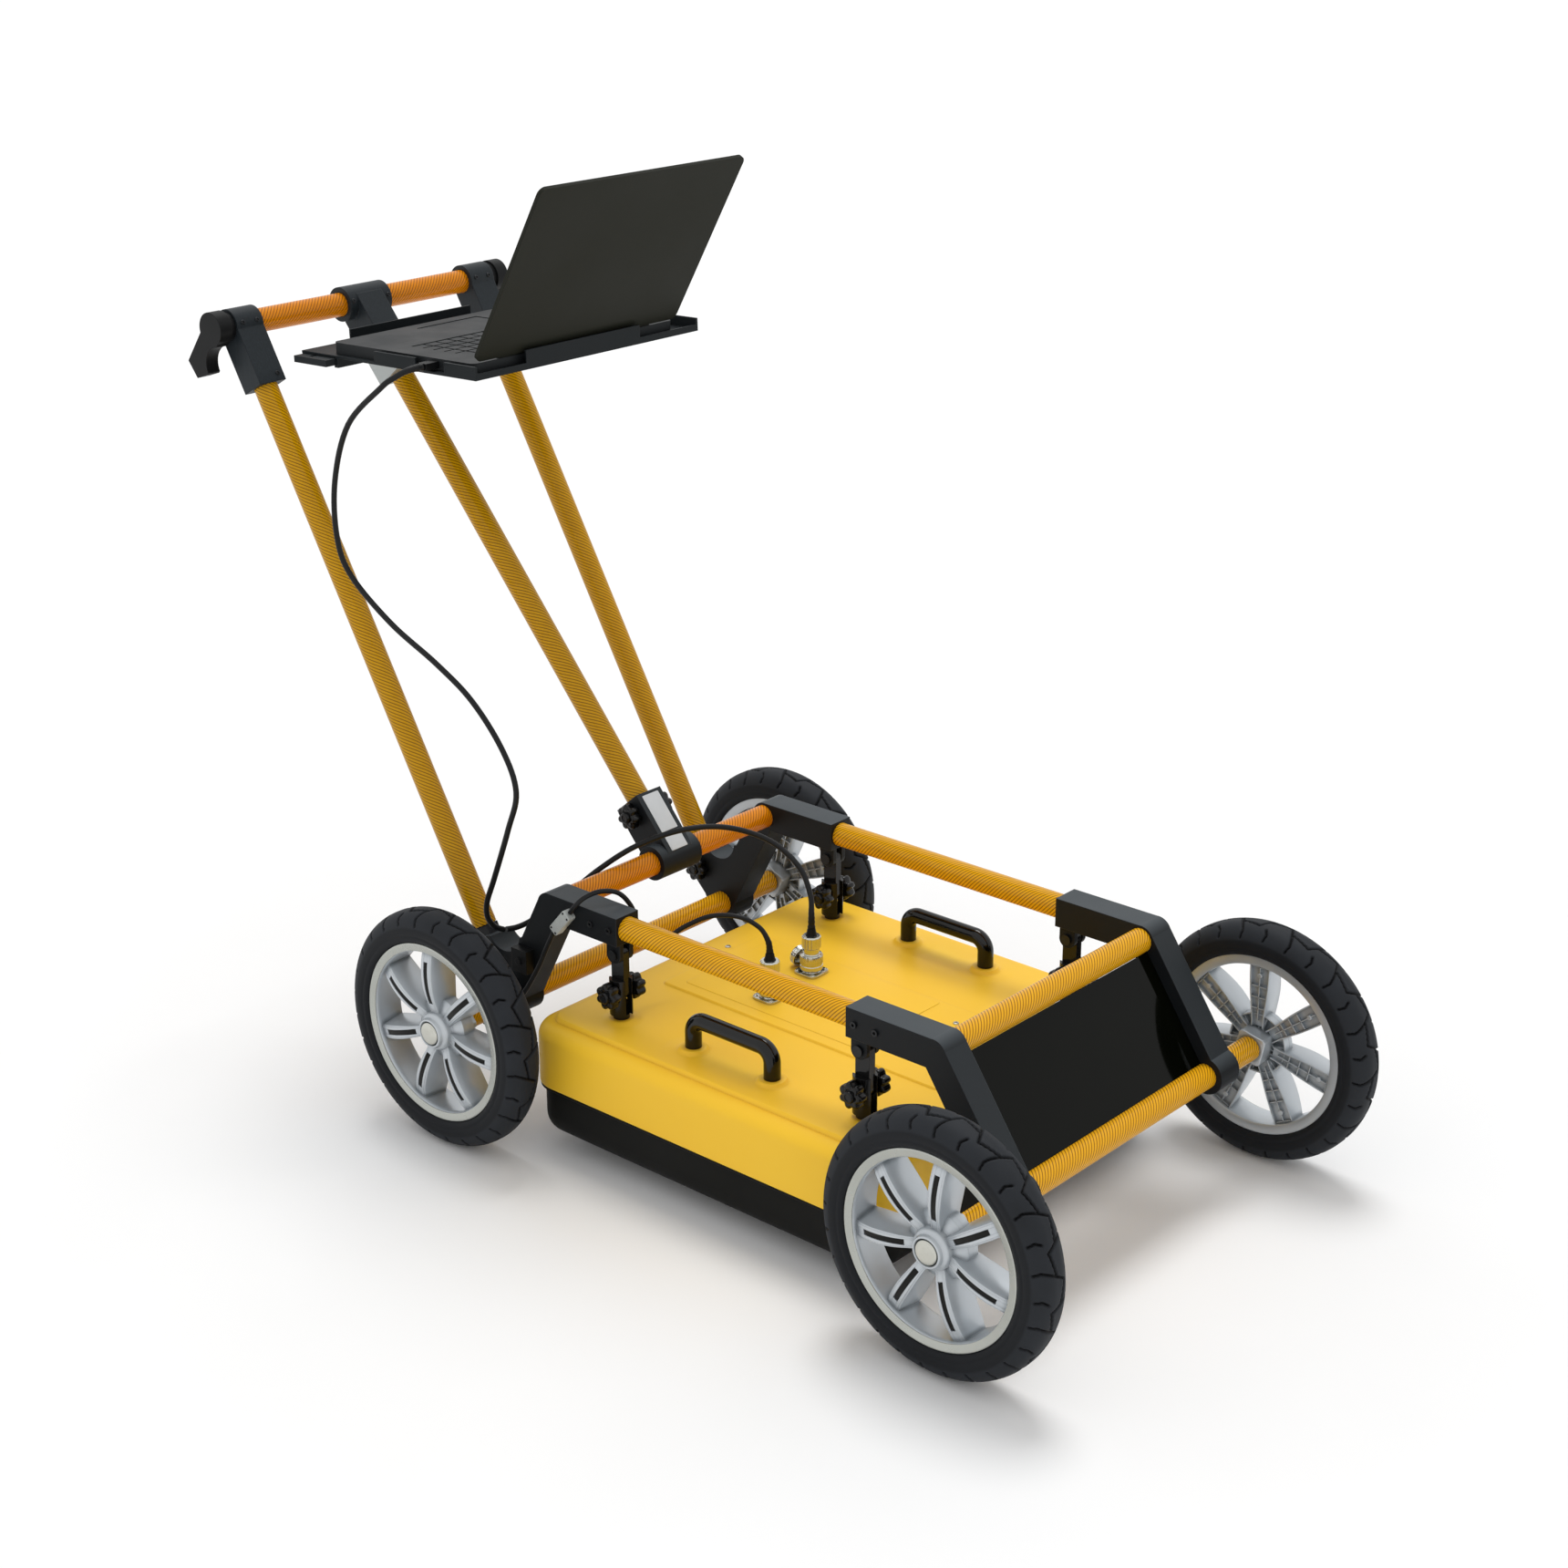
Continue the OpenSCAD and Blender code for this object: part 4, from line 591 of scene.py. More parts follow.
def skin(name, rows, sides, hollow):
    """A round skin over rows of middle, radius, two square directions and length, with the lengths around
    and along it as its UV map. A hollow one closes on itself; the ends of the others are filled."""
    work = bmesh.new()
    weave = work.loops.layers.uv.new("Weave")
    angles = [2 * math.pi * k / sides for k in range(sides)]
    rings = []
    for middle, radius, side, other, _ in rows:
        rings.append([
            work.verts.new(middle + radius * (math.cos(a) * side + math.sin(a) * other)) for a in angles
        ])
    girth = 2 * math.pi * max(row[1] for row in rows)
    count = len(rings)
    for i in range(count if hollow else count - 1):
        j = (i + 1) % count
        for k in range(sides):
            n = (k + 1) % sides
            face = work.faces.new((rings[i][k], rings[i][n], rings[j][n], rings[j][k]))
            places = ((k, i), (k + 1, i), (k + 1, j), (k, j))
            for loop, (turn, row) in zip(face.loops, places):
                loop[weave].uv = (girth * turn / sides, rows[row][-1])
    if not hollow:
        work.faces.new(list(reversed(rings[0])))
        work.faces.new(rings[-1])
    mesh = bpy.data.meshes.new(name)
    work.to_mesh(mesh)
    work.free()
    return mesh


def swept(name, points, radii, sides=16):
    """A round bar along points in metres, carried along without twist."""
    last = len(points) - 1
    side = (points[1] - points[0]).orthogonal().normalized()
    length = 0.0
    rows = []
    for i, point in enumerate(points):
        before, after = points[max(i - 1, 0)], points[min(i + 1, last)]
        heading = (after - before).normalized()
        side = (side - side.dot(heading) * heading).normalized()
        length += (point - before).length
        rows.append((point, radii[i], side, heading.cross(side), length))
    return skin(name, rows, sides, hollow=False)


def tube(name, start, end):
    """A thin-walled tube between two points in metres: outside, softened end faces and bore."""
    sides = 48
    outer, inner = tube_r * MM, (tube_r - tube_wall) * MM
    soft = 0.5 * MM
    way = (end - start).normalized()
    side = way.orthogonal().normalized()
    mouth = [(4 * soft, inner), (0, inner), (0, outer - soft), (soft, outer)]
    outline = [(start + depth * way, radius) for depth, radius in mouth]
    outline += [(end - depth * way, radius) for depth, radius in reversed(mouth)]
    rows = [
        (point, radius, side, way.cross(side), (point - start).dot(way)) for point, radius in outline
    ]
    return skin(name, rows, sides, hollow=True)


# A node tree that repeats a shape

def ring_tree():
    """Copies of a shape turned about Z and welded: tread pitches, spokes, ribs and ridges."""
    tree = bpy.data.node_groups.new("ring", "GeometryNodeTree")
    inputs = {"Geometry": "Geometry", "Count": "Int", "Material": "Material"}
    for name, kind in inputs.items():
        tree.interface.new_socket(name, in_out="INPUT", socket_type="NodeSocket" + kind)
    tree.interface.new_socket("Geometry", in_out="OUTPUT", socket_type="NodeSocketGeometry")
    given = add(tree, "NodeGroupInput").outputs
    spots = add(tree, "GeometryNodePoints", {"Count": given["Count"]})
    index = add(tree, "GeometryNodeInputIndex")
    step = add(tree, "ShaderNodeMath", {0: 2 * math.pi, 1: given["Count"]}, operation="DIVIDE")
    angle = add(tree, "ShaderNodeMath", {0: index.outputs[0], 1: step.outputs[0]}, operation="MULTIPLY")
    turned = add(tree, "ShaderNodeCombineXYZ", {"Z": angle.outputs[0]})
    copies = add(
        tree, "GeometryNodeInstanceOnPoints",
        {"Points": spots.outputs[0], "Instance": given["Geometry"], "Rotation": turned.outputs[0]}
    )
    real = add(tree, "GeometryNodeRealizeInstances", {0: copies.outputs[0]})
    whole = add(
        tree, "GeometryNodeMergeByDistance", {"Geometry": real.outputs[0], "Distance": weld_mm * MM}
    )
    painted = add(
        tree, "GeometryNodeSetMaterial", {"Geometry": whole.outputs[0], "Material": given["Material"]}
    )
    add(tree, "NodeGroupOutput", {0: painted.outputs[0]})
    return tree


ring = ring_tree()


def ringed(mesh, count, material):
    """The plain mesh of a shape's copies all around Z."""
    seed = bpy.data.objects.new(mesh.name, mesh)
    scene.collection.objects.link(seed)
    modifier = seed.modifiers.new("ring", "NODES")
    modifier.node_group = ring
    given = {"Count": count, "Material": material}
    for socket in ring.interface.items_tree:
        if socket.name in given:
            modifier[socket.identifier] = given[socket.name]
    graph = bpy.context.evaluated_depsgraph_get()
    result = bpy.data.meshes.new_from_object(seed.evaluated_get(graph), depsgraph=graph)
    bpy.data.objects.remove(seed)
    return result


# Cables, first of the pieces

def smooth_route(route, steps):
    """A smooth curve through the route's points, given in millimetres, as points in metres."""
    way = [Vector(p) * MM for p in route]
    last = len(way) - 1
    points = []
    for i in range(last):
        a, b, c, d = way[max(i - 1, 0)], way[i], way[i + 1], way[min(i + 2, last)]
        for k in range(steps):
            t = k / steps
            bend = (2 * a - 5 * b + 4 * c - d) + t * (3 * (b - c) + d - a)
            points.append(b + t / 2 * ((c - a) + t * bend))
    points.append(way[last])
    return points


def length_of(points):
    return sum((b - a).length for a, b in zip(points, points[1:]))


def relieved_radii(points, radius, sleeves):
    """The cable's radius at each point, with a tapered strain relief where a sleeve is asked for."""
    sleeve_len, sleeve_extra = 26 * MM, 1.5 * MM
    rib_pitch, valley_share = 2.6 * MM, 0.55
    whole = length_of(points)
    so_far = 0.0
    radii = []
    for i, point in enumerate(points):
        if i:
            so_far += (point - points[i - 1]).length
        grow = 0.0
        for wanted, gap in zip(sleeves, (so_far, whole - so_far)):
            if wanted and gap < sleeve_len:
                rib = 1 if int(gap / rib_pitch) % 2 == 0 else valley_share
                grow = max(grow, sleeve_extra * (1 - gap / sleeve_len) * rib)
        radii.append(radius + grow)
    return radii


def cable(node, route, diameter_mm, sleeves, body=None, between=None):
    """A cable along its route, riding on its body if one is given. Of between, only whether it is given is
    used: then the cable's place is applied to its mesh, and the two bodies and the place in it are not
    used.
    """
    points = smooth_route(route, 8)
    mesh = swept(node + "_run", points, relieved_radii(points, diameter_mm * MM / 2, sleeves))
    finish_mesh(mesh, cable_jacket, 60)
    obj = piece(node + "_run", mesh, body)
    if between:
        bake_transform(obj)
    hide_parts(node)
    return obj, points


data_upper_route = (
    (-510, -188, 912), (-513, -205, 911), (-523, -219, 903), (-540, -227, 889),
    (-596, -232, 838), (-627, -232, 765), (-630, -232, 695), (-608, -232, 650),
    (-539, -232, 604), (-460, -232, 570), (-400, -232, 537), (-351, -232, 488),
    (-330, -232, 440), (-347, -232, 387), (-372, -234, 320), (-385, -236, 285),
    (-390, -232, 263), (-390, -222, 247), (-388, -208, 238),
)
data_lower_route = (
    (-388, -204, 237), (-384, -187, 236), (-375, -169, 243), (-353, -143, 265),
    (-325, -110, 301), (-294, -70, 331), (-258, -25, 348), (-225, 20, 346),
    (-185, 54, 328), (-145, 62, 302), (-122, 56, 274), (-114, 49, 253),
    (-113, 48, 235.5),
)
encoder_lead_route = (
    (-348, -232, 168), (-331, -231, 180), (-312, -225, 215), (-300, -220, 245),
    (-288, -218, 270),
)
encoder_cable_route = (
    (-260, -218, 301), (-252, -217, 312), (-243, -210, 323), (-232, -195, 329),
    (-221, -176, 324), (-213, -163, 305), (-209, -156, 280), (-206, -142, 259),
    (-202, -117, 251), (-191, -93, 262), (-168, -73, 275), (-139, -56, 277),
    (-117, -44, 266), (-106, -40, 250), (-104, -39, 235.5),
)
data_d = 7
encoder_d = 6


def make_cables():
    runs = (
        ("data_cable_upper", data_upper_route, data_d, (True, False), None,
         ("handle", "chassis", (-0.36, -0.232, 0.44), (-0.388, -0.208, 0.25)), [nodes["laptop_plug"]]),
        ("data_cable_lower", data_lower_route, data_d, (False, True), None,
         ("chassis", "antenna", (-0.25, 0, 0.34), (-0.113, 0.048, 0.245)), []),
        ("encoder_lead", encoder_lead_route, encoder_d, (True, False), "chassis", None, []),
        ("encoder_cable", encoder_cable_route, encoder_d, (False, True), None,
         ("chassis", "antenna", (-0.206, -0.142, 0.259), (-0.104, -0.039, 0.245)), []),
    )
    for node, route, diameter, sleeves, body, between, ends in runs:
        obj, points = cable(node, route, diameter, sleeves, body, between)


make_cables()


# Tubes

def level(node, middle):
    """The ends of a tube that lies across the cart, as wide as its box."""
    lo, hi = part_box(node)
    return Vector((middle.x, lo.y, middle.z)), Vector((middle.x, hi.y, middle.z))


def slanting(node, place, way):
    """The ends of a tube that slants through a place, as high as its box."""
    lo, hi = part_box(node)
    side = tube_r * MM * math.sqrt(1 - way.z ** 2)
    low, high = (lo.z + side - place.z) / way.z, (hi.z - side - place.z) / way.z
    return place + low * way, place + high * way


def make_tubes():
    """Each solid's tubes: their ends, their weave and the body that they ride on."""
    lo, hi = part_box("front_cross_tube")
    front_top = (lo + hi) / 2
    axles = [Vector(joints[f"wheel_{end}_left_spin"]["pos_m"]) for end in ("front", "rear")]
    sides = (bracket_y * MM, -bracket_y * MM)
    feet = [Vector((pivot.x, y, pivot.z)) for y in sides]
    lo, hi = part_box("side_rails")
    rails = [(Vector((lo.x, y, rear_top.z)), Vector((hi.x, y, rear_top.z))) for y in sides]
    legs = [slanting("handle_legs", foot, leg_dir) for foot in feet]
    rows = {
        "rear_cross_tube": ([level("rear_cross_tube", rear_top)], orange_reflection_weave, "chassis"),
        "handlebar": ([level("handlebar", bar)], orange_reflection_weave, "handle"),
        "front_cross_tube": ([level("front_cross_tube", front_top)], gold_weave, "chassis"),
        "axle_tubes": ([level("axle_tubes", axle) for axle in axles], gold_weave, "chassis"),
        "side_rails": (rails, gold_weave, "chassis"),
        "handle_legs": (legs, olive_reflection_weave, "handle"),
        "strut_tube": ([slanting("strut_tube", rear_top, strut_dir)], olive_reflection_weave, "strut"),
    }
    for node, (runs, weave, body) in rows.items():
        name = "strut_weave" if node == "strut_tube" else node + "_weave"
        tubes = [finish_mesh(tube(name, start, end), weave) for start, end in runs]
        piece(name, joined(name, tubes), body, [node])


make_tubes()


def ease(value, start, end):
    """Goes softly from 0 to 1 between two values."""
    t = max(0, min(1, (value - start) / (end - start)))
    return t * t * (3 - 2 * t)


# Wheels: local +Z points out of the cart, zero is the tyre's middle plane

def wheel_place(name):
    side = 1 if name.endswith("left") else -1
    middle = Vector(joints[f"wheel_{name}_spin"]["pos_m"])
    return Matrix.Translation(middle) @ Matrix.Rotation(math.radians(-90 * side), 4, "X")


tread_pitches = 14
tread_pitch_mm = 2 * math.pi * wheel_r / tread_pitches
groove_depth = 2.6
groove_floor = 0.9
groove_flank = 0.9
# Lengths from the crown where the grooves end and the sidewall's painted shade begins
grooves_end = 33
wall_shade_from, wall_shade_to = 31, 35
sidewall_shade = 0.5


def groove_lines():
    """The tread's cuts over one pitch, along and across it: hooked sipes on each shoulder and a zig-zag."""
    pitch = tread_pitch_mm
    hook = ((0, 3), (5, 13), (8, 21), (6, 30))
    short_hook = ((4, 14), (8, 21), (6, 29))
    zigzag = ((0, 3), (0.4 * pitch, 9), (0.5 * pitch, -3), (0.9 * pitch, -9), (pitch, 3))
    lines = []
    for shift in (-pitch, 0, pitch):
        cuts = [(zigzag, shift, 1)]
        for side, start in ((1, shift), (-1, shift + pitch / 2)):
            cuts += [(hook, start, side), (short_hook, start + pitch / 2, side)]
        for cut, start, side in cuts:
            points = [Vector((start + along, side * across)) for along, across in cut]
            lines += zip(points, points[1:])
    return lines


def groove_share(along, across, lines):
    """How deep a place of the tread lies in a cut: 0 on the surface and 1 at the bottom."""
    place = Vector((along, across))
    share = 0.0
    for a, b in lines:
        t = max(0, min(1, (place - a).dot(b - a) / (b - a).length_squared))
        gap = (place - a - t * (b - a)).length
        share = max(share, 1 - min(1, max(0, (gap - groove_floor) / groove_flank)))
    return share


def tyre_profile():
    """Points across the tyre: width, radius, the way out of the surface, and the length from the crown."""
    flat = tyre_w / 2 - tyre_shoulder
    arc = tyre_shoulder * math.pi / 2
    rows_across = []
    steps = 54
    for i in range(steps + 1):
        s = (flat + arc) * (2 * i / steps - 1)
        sign = 1 if s > 0 else -1
        if abs(s) <= flat:
            rows_across.append((s, wheel_r, (0, 1), s))
        else:
            angle = (abs(s) - flat) / tyre_shoulder
            way = (sign * math.sin(angle), math.cos(angle))
            width = sign * flat + tyre_shoulder * way[0]
            rows_across.append((width, wheel_r - tyre_shoulder + tyre_shoulder * way[1], way, s))
    wall = (
        (25, 127), (24.9, 124), (24.2, 122.4), (24.2, 121.4),
        (24.7, 119.6), (24.2, 117), (22.5, 114.6), (20.5, 113.2),
    )
    past_tread = 99
    after = [(w, r, (1, 0), past_tread) for w, r in wall]
    before = [(-w, r, (-1, 0), -past_tread) for w, r in reversed(wall)]
    return before + rows_across + after


def tyre_pitch():
    """One pitch of the tread with its sidewalls, its grooves pressed in and its shades marked."""
    profile = tyre_profile()
    lines = groove_lines()
    steps = 54
    points = []
    shades = []
    for i in range(steps + 1):
        angle = 2 * math.pi / tread_pitches * i / steps
        along = tread_pitch_mm * i / steps
        for width, radius, way, s in profile:
            share = groove_share(along, s, lines) if abs(s) < grooves_end else 0.0
            # painted shade: grooves darker with their depth, and the sidewall darker than the tread
            wall_shade = sidewall_shade * ease(abs(s), wall_shade_from, wall_shade_to)
            r = radius - groove_depth * share * way[1]
            points.append((r * math.cos(angle), r * math.sin(angle), width - groove_depth * share * way[0]))
            shades.append(max(share, wall_shade))
    count = len(profile)
    faces = []
    for i in range(steps):
        for k in range(count - 1):
            a = i * count + k
            faces.append((a, a + count, a + count + 1, a + 1))
        a = i * count
        faces.append((a + count - 1, a + 2 * count - 1, a + count, a))
    mesh = new_mesh("tread_pitch", points, faces)
    mesh.attributes.new("shade", "FLOAT", "POINT").data.foreach_set("value", shades)
    return mesh


def spoke_front(r):
    """Height of a spoke's bowed front at a radius."""
    mid, curve_r, curve_z = 64.5, 103.9, -82.9
    return curve_z + math.sqrt(curve_r ** 2 - (r - mid) ** 2)


slot_from, slot_to = 36, 89
slot_half_w = 3.3
spoke_half_w = 9
narrow_from, narrow_to = 24, 70
widen_from, widen_to = 30, 98
spoke_back_z = -16
spoke_floor_z = -11.5


def one_spoke():
    """A bowed spoke: a slot between raised edges, flanks that widen backwards and a shallow tray behind.
    It narrows towards the hub."""
    stations = [22, 27, 31, 35.6, slot_from, 42, 48, 54, 60, 66, 72, 78, 84]
    stations += [slot_to, 89.4, 94, 98, 102, 107]
    bow_from, bow_to = 27, 102
    slot_depth, narrower = 2.2, 2.2
    rings = []
    for r in stations:
        top = spoke_front(min(max(r, bow_from), bow_to))
        floor = top - (slot_depth if slot_from <= r <= slot_to else 0)
        half = spoke_half_w - narrower + narrower * ease(r, narrow_from, narrow_to)
        back = half + 1.6 + 2.8 * ease(r, widen_from, widen_to)
        section = [
            (slot_half_w - 0.2, floor), (slot_half_w, top - 0.1), (slot_half_w + 0.3, top + 0.2),
            (half - 2.4, top + 0.2), (half - 1.8, top - 0.6), (half - 0.6, top - 0.8), (half, top - 1.8),
            (back, spoke_back_z + 0.8), (back - 0.3, spoke_back_z), (back - 1.6, spoke_back_z),
            (back - 1.9, spoke_floor_z), (0, spoke_floor_z),
        ]
        right = [(r, y, z) for y, z in section]
        left = [(r, -y, z) for y, z in reversed(section[:-1])]
        rings.append(right + left)
    return loft("spoke", rings)


def spoke_ribs():
    """The ribs on a spoke's back: one along it, four across it and a round boss."""
    thin = 0.6
    low, high = spoke_back_z + 0.6, spoke_floor_z + 1
    parts = []
    for r in (46, 60, 74, 99):
        half = spoke_half_w + 1.4 * ease(r, widen_from, widen_to)
        parts.append(box_mesh("rib", (r - thin, -half, low), (r + thin, half, high)))
    parts.append(box_mesh("rib", (30, -thin, low), (103, thin, high)))
    boss_from_axle = 88
    boss = lathe("boss", [
        (0, spoke_back_z), (2.6, spoke_back_z), (3.1, spoke_back_z + 0.5), (3.1, high), (0, high)
    ], 20)
    parts.append(shifted(boss, boss_from_axle, 0, 0))
    return joined("ribs", parts)


def spoke_inlay():
    """The black strip in a spoke's slot, with round ends, a little below its front."""
    half = slot_half_w - 0.35
    first, last = slot_from + 0.4, slot_to - 0.4
    length = last - first
    below_front, thick = 0.9, 1.5
    round_end = [0, 0.06, 0.35, 0.8, 1.5, half]
    stations = round_end + [half + (length - 2 * half) * i / 12 for i in range(1, 12)]
    stations += [length - d for d in reversed(round_end)]
    rings = []
    for d in stations:
        r = first + d
        end = half - min(d, length - d, half)
        y = max(0.05, math.sqrt(half ** 2 - end ** 2))
        top = spoke_front(r) - below_front
        rings.append([(r, y, top), (r, -y, top), (r, -y, top - thick), (r, y, top - thick)])
    return loft("inlay", rings)


def rim_barrel():
    """The band that carries the tyre."""
    return lathe("barrel", [
        (rim_r, -20), (rim_r, 20.4), (110.4, 20.4), (103.2, 19.8), (102, 18.4), (101.6, 14),
        (100.6, -15), (101.4, -18.4), (104.4, -20),
    ], 120)


def rim_lip():
    """The broad bright lip around the front of the rim."""
    return lathe("lip", [
        (112.8, 19.6), (112.8, 21.6), (112.2, 22), (111, 22), (110.3, 21.6),
        (103.8, 21), (103, 20.4), (103, 19.6),
    ], 120)


def hub_body():
    """The hub: stepped rings in front, a disc behind the spokes' feet and a bearing seat through it."""
    return lathe("hub", [
        (14.1, -hub_in), (17.6, -hub_in), (18, -4), (37.4, -4), (38.6, -3), (38.6, 3), (36, 6), (25.4, 9),
        (24.4, 10.4), (24, 15), (22.8, 18), (21, 19.6), (19.6, 20.2), (18.8, 21.2), (18.4, 24.4),
        (17.6, 25.4), (16, 25.6), (15.2, 24.8), (14.8, 22.6), (14.1, 21.5),
    ])


def hub_block():
    """The square block of the hub around the end of the axle tube."""
    half_w, corner_r = 18.4, 6
    rings = []
    for inset, z in ((0.8, -hub_in + 0.2), (0, -hub_in + 1), (-0.6, -3)):
        outline = rounded_outline(half_w - inset, half_w - inset, corner_r)
        rings.append([(x, y, z) for x, y in outline])
    return loft("block", rings)


def hub_rib():
    """The short rib that repeats around the hub's back."""
    return box_mesh("rib", (17, -0.7, -11), (37, 0.7, -3))


def back_ring():
    """The thin wall around the hub's ribs."""
    return lathe("wall", [(36.8, -13), (38, -13), (38.4, -12.6), (38.4, -3), (36.4, -3), (36.4, -12.6)])


def hub_cap():
    """The low dome over the axle's end."""
    return lathe("cap", [
        (0, 22.2), (14, 22.2), (14.2, 24.8), (13.6, 26), (12.2, 26.8), (7.4, 27.4), (0, 27.6)
    ])


def gap_shade_ring():
    """A black ring in the gap between cap and hub: painted shade in the gap."""
    return lathe("ring", [(13.8, 21.8), (15, 21.8), (15, 23.6), (13.8, 23.6)])


def make_wheels():
    tread = ringed(tyre_pitch(), tread_pitches, rubber)
    turned = (rim_barrel(), hub_body(), hub_block(), back_ring())
    parts = [finish_mesh(mesh, wheel_paint) for mesh in turned]
    parts.append(finish_mesh(rim_lip(), bright_lip))
    for shape, count in ((one_spoke(), spokes), (spoke_ribs(), spokes), (hub_rib(), 3 * spokes)):
        parts.append(ringed(shape, count, wheel_paint))
    rim = joined("rim", parts)
    trim = joined("trim", [
        ringed(spoke_inlay(), spokes, inlay_and_gap_black),
        finish_mesh(hub_cap(), nickel), finish_mesh(gap_shade_ring(), inlay_and_gap_black),
    ])
    kinds = (
        ("tyre", tread, "tyre", 50), ("rim", rim, "wheel_silver", 38),
        ("wheel_trim", trim, "wheel_trim", 38),
    )
    for name in wheel_names:
        place = wheel_place(name) @ Matrix.Rotation(math.radians(spoke_angles[name]), 4, "Z")
        for kind, shape, slot, smooth_angle in kinds:
            mesh = finish_mesh(moved(shape, place), None, smooth_angle)
            piece(f"{kind}_{name}_detail", mesh, f"wheel_{name}", [f"{kind}_{name}"])


make_wheels()


# Antenna housing

cover_step = 5
panel_step = 0.7
foot_places = [(antenna_x + x, y) for x, y in four_corners(61, 198.5)]
sleeve_places = [(x, sy * bracket_y) for x in (-203, 173) for sy in (1, -1)]


def raised(name, middle, half, r, low, high, slope):
    """A flat field that stands on the cover, with a sloping side and a soft upper edge."""
    rise = high - low
    rows = (
        (0, low - 0.5), (0, low), (slope * 0.7, low + rise * 0.8), (slope, high - 0.05),
        (slope + 0.5, high),
    )
    return stacked(name, half, r, rows, middle, 12)


def cover_body():
    """The cover's skirt, its round edge and the step up to its plateau."""
    edge_r = 19
    top = cover_high - cover_step
    rows = [
        (5, 100), (4, cover_low), (1.4, cover_low), (0.3, cover_low + 1), (0, cover_low + 3),
        (0, top - edge_r),
    ]
    steps = 12
    for k in range(1, steps):
        angle = math.pi / 2 * k / steps
        rows.append((edge_r * (1 - math.cos(angle)), top - edge_r + edge_r * math.sin(angle)))
    rows += [
        (edge_r, top), (21, top), (23.4, cover_high - 0.6), (24.2, cover_high - 0.1), (25.2, cover_high),
    ]
    return stacked("cover", cover_half, cover_corner_r, rows, (antenna_x, 0), 16)


def foot_boss():
    """The flared boss under a foot of a pull handle."""
    return lathe("boss", [
        (0, -0.5), (40, -0.3), (34, 0.3), (26, 0.9), (20.4, 1.3), (19, 1.8),
        (16.8, 4.8), (16.2, 5.6), (15.2, 6), (0, 6),
    ], 64)


def sleeve_mound():
    """The soft mound around the foot of a hanger's sleeve."""
    return lathe("mound", [
        (0, -0.5), (27, -0.3), (21, 0.5), (17, 1.6), (15, 2.2), (13.6, 2.4), (0, 2.4)
    ], 64)


def make_cover():
    band = raised("band", (antenna_x, 0), (215, 92), 7, cover_high, band_high - panel_step, 2.4)
    panel = raised("panel", (-76, 6), (136, 80), 5, band_high - panel_step, band_high, 0.6)
    parts = [cover_body(), band, panel]
    for shape, places in ((foot_boss(), foot_places), (sleeve_mound(), sleeve_places)):
        for x, y in places:
            parts.append(shifted(shape, x, y, cover_high))
    mesh = joined("cover", [finish_mesh(part, yellow_shell, 40) for part in parts])
    piece("antenna_cover_shell", mesh, "antenna", ["antenna_cover"])


def screw_head(r, h):
    """A low round screw head with a socket in it, standing on z = 0."""
    return lathe("screw", [
        (0, -0.4), (r, -0.4), (r, 0.45 * h), (0.86 * r, 0.85 * h), (0.62 * r, h), (0.5 * r, h),
        (0.46 * r, 0.3 * h), (0, 0.3 * h),
    ], 24)


def make_cover_screws():
    head = screw_head(3.6, 1.6)
    places = ((-245, 40, cover_high), (108, 54, band_high - panel_step))
    heads = [finish_mesh(shifted(head, *place), nickel) for place in places]
    piece("cover_screws", joined("cover_screws", heads), "antenna")


def socket_flange():
    """The square flange of a connector with its screws, and the threaded barrel on it."""
    thick = 3
    parts = [plate("flange", (17, 17), 8, thick, 0.5)]
    head = screw_head(2.6, 1.5)
    parts += [shifted(head, x, y, thick) for x, y in four_corners(12.4, 12.4)]
    crest_r, root_r = 12, 11.4
    turns, thread_pitch = 6, 2
    low, first_root, high = 2.6, 4, 16
    thread = [(0, low), (crest_r, low)]
    for k in range(turns):
        root_z = first_root + thread_pitch * k
        thread += [(root_r, root_z), (crest_r, root_z + thread_pitch / 2)]
    parts.append(lathe("barrel", thread + [(root_r, high), (0, high)], 48))
    return joined("socket", parts)


def fluted_nut(low, high, r):
    """A cable nut with ten soft lobes between narrow flutes."""
    flutes, flute_depth = 10, 0.075
    steps = 8 * flutes
    rings = []
    for z, scale in ((low, 0.9), (low + 1, 1), (high - 1.6, 1), (high, 0.88)):
        around = []
        for k in range(steps):
            angle = 2 * math.pi * k / steps
            lobe = abs(math.cos(flutes / 2 * angle)) ** 0.5
            out = scale * r * (1 - flute_depth + flute_depth * lobe)
            around.append((out * math.cos(angle), out * math.sin(angle), z))
        rings.append(around)
    return loft("nut", rings)


def plug_body():
    """A circular connector's plug: coupling ring, slim shell and cable nut, all bright."""
    shell = lathe("shell", [
        (12.2, 6), (13.9, 6), (14.4, 6.6), (14.4, 11.4), (13.7, 12), (13.7, 13), (14, 13.6), (14, 24.4),
        (13.2, 25.6), (10.6, 26.2), (10, 27), (10, 33), (10.4, 33.6), (10.4, 36), (6, 36), (6, 20),
        (12.2, 20),
    ], 64)
    ridge = box_mesh("ridge", (13.8, -0.5, 14.2), (14.45, 0.5, 23.8))
    parts = [finish_mesh(mesh, nickel) for mesh in (shell, fluted_nut(34, 50, 12))]
    parts.append(ringed(ridge, 40, nickel))
    gland = lathe("gland", [
        (0, 46), (7.4, 46), (7.4, 50.6), (6.5, 51.4), (6.2, 54), (5.6, 55), (5.6, 57),
        (4.6, 59.6), (0, 59.9),
    ], 40)
    parts.append(finish_mesh(gland, black_abs))
    return joined("plug", parts)


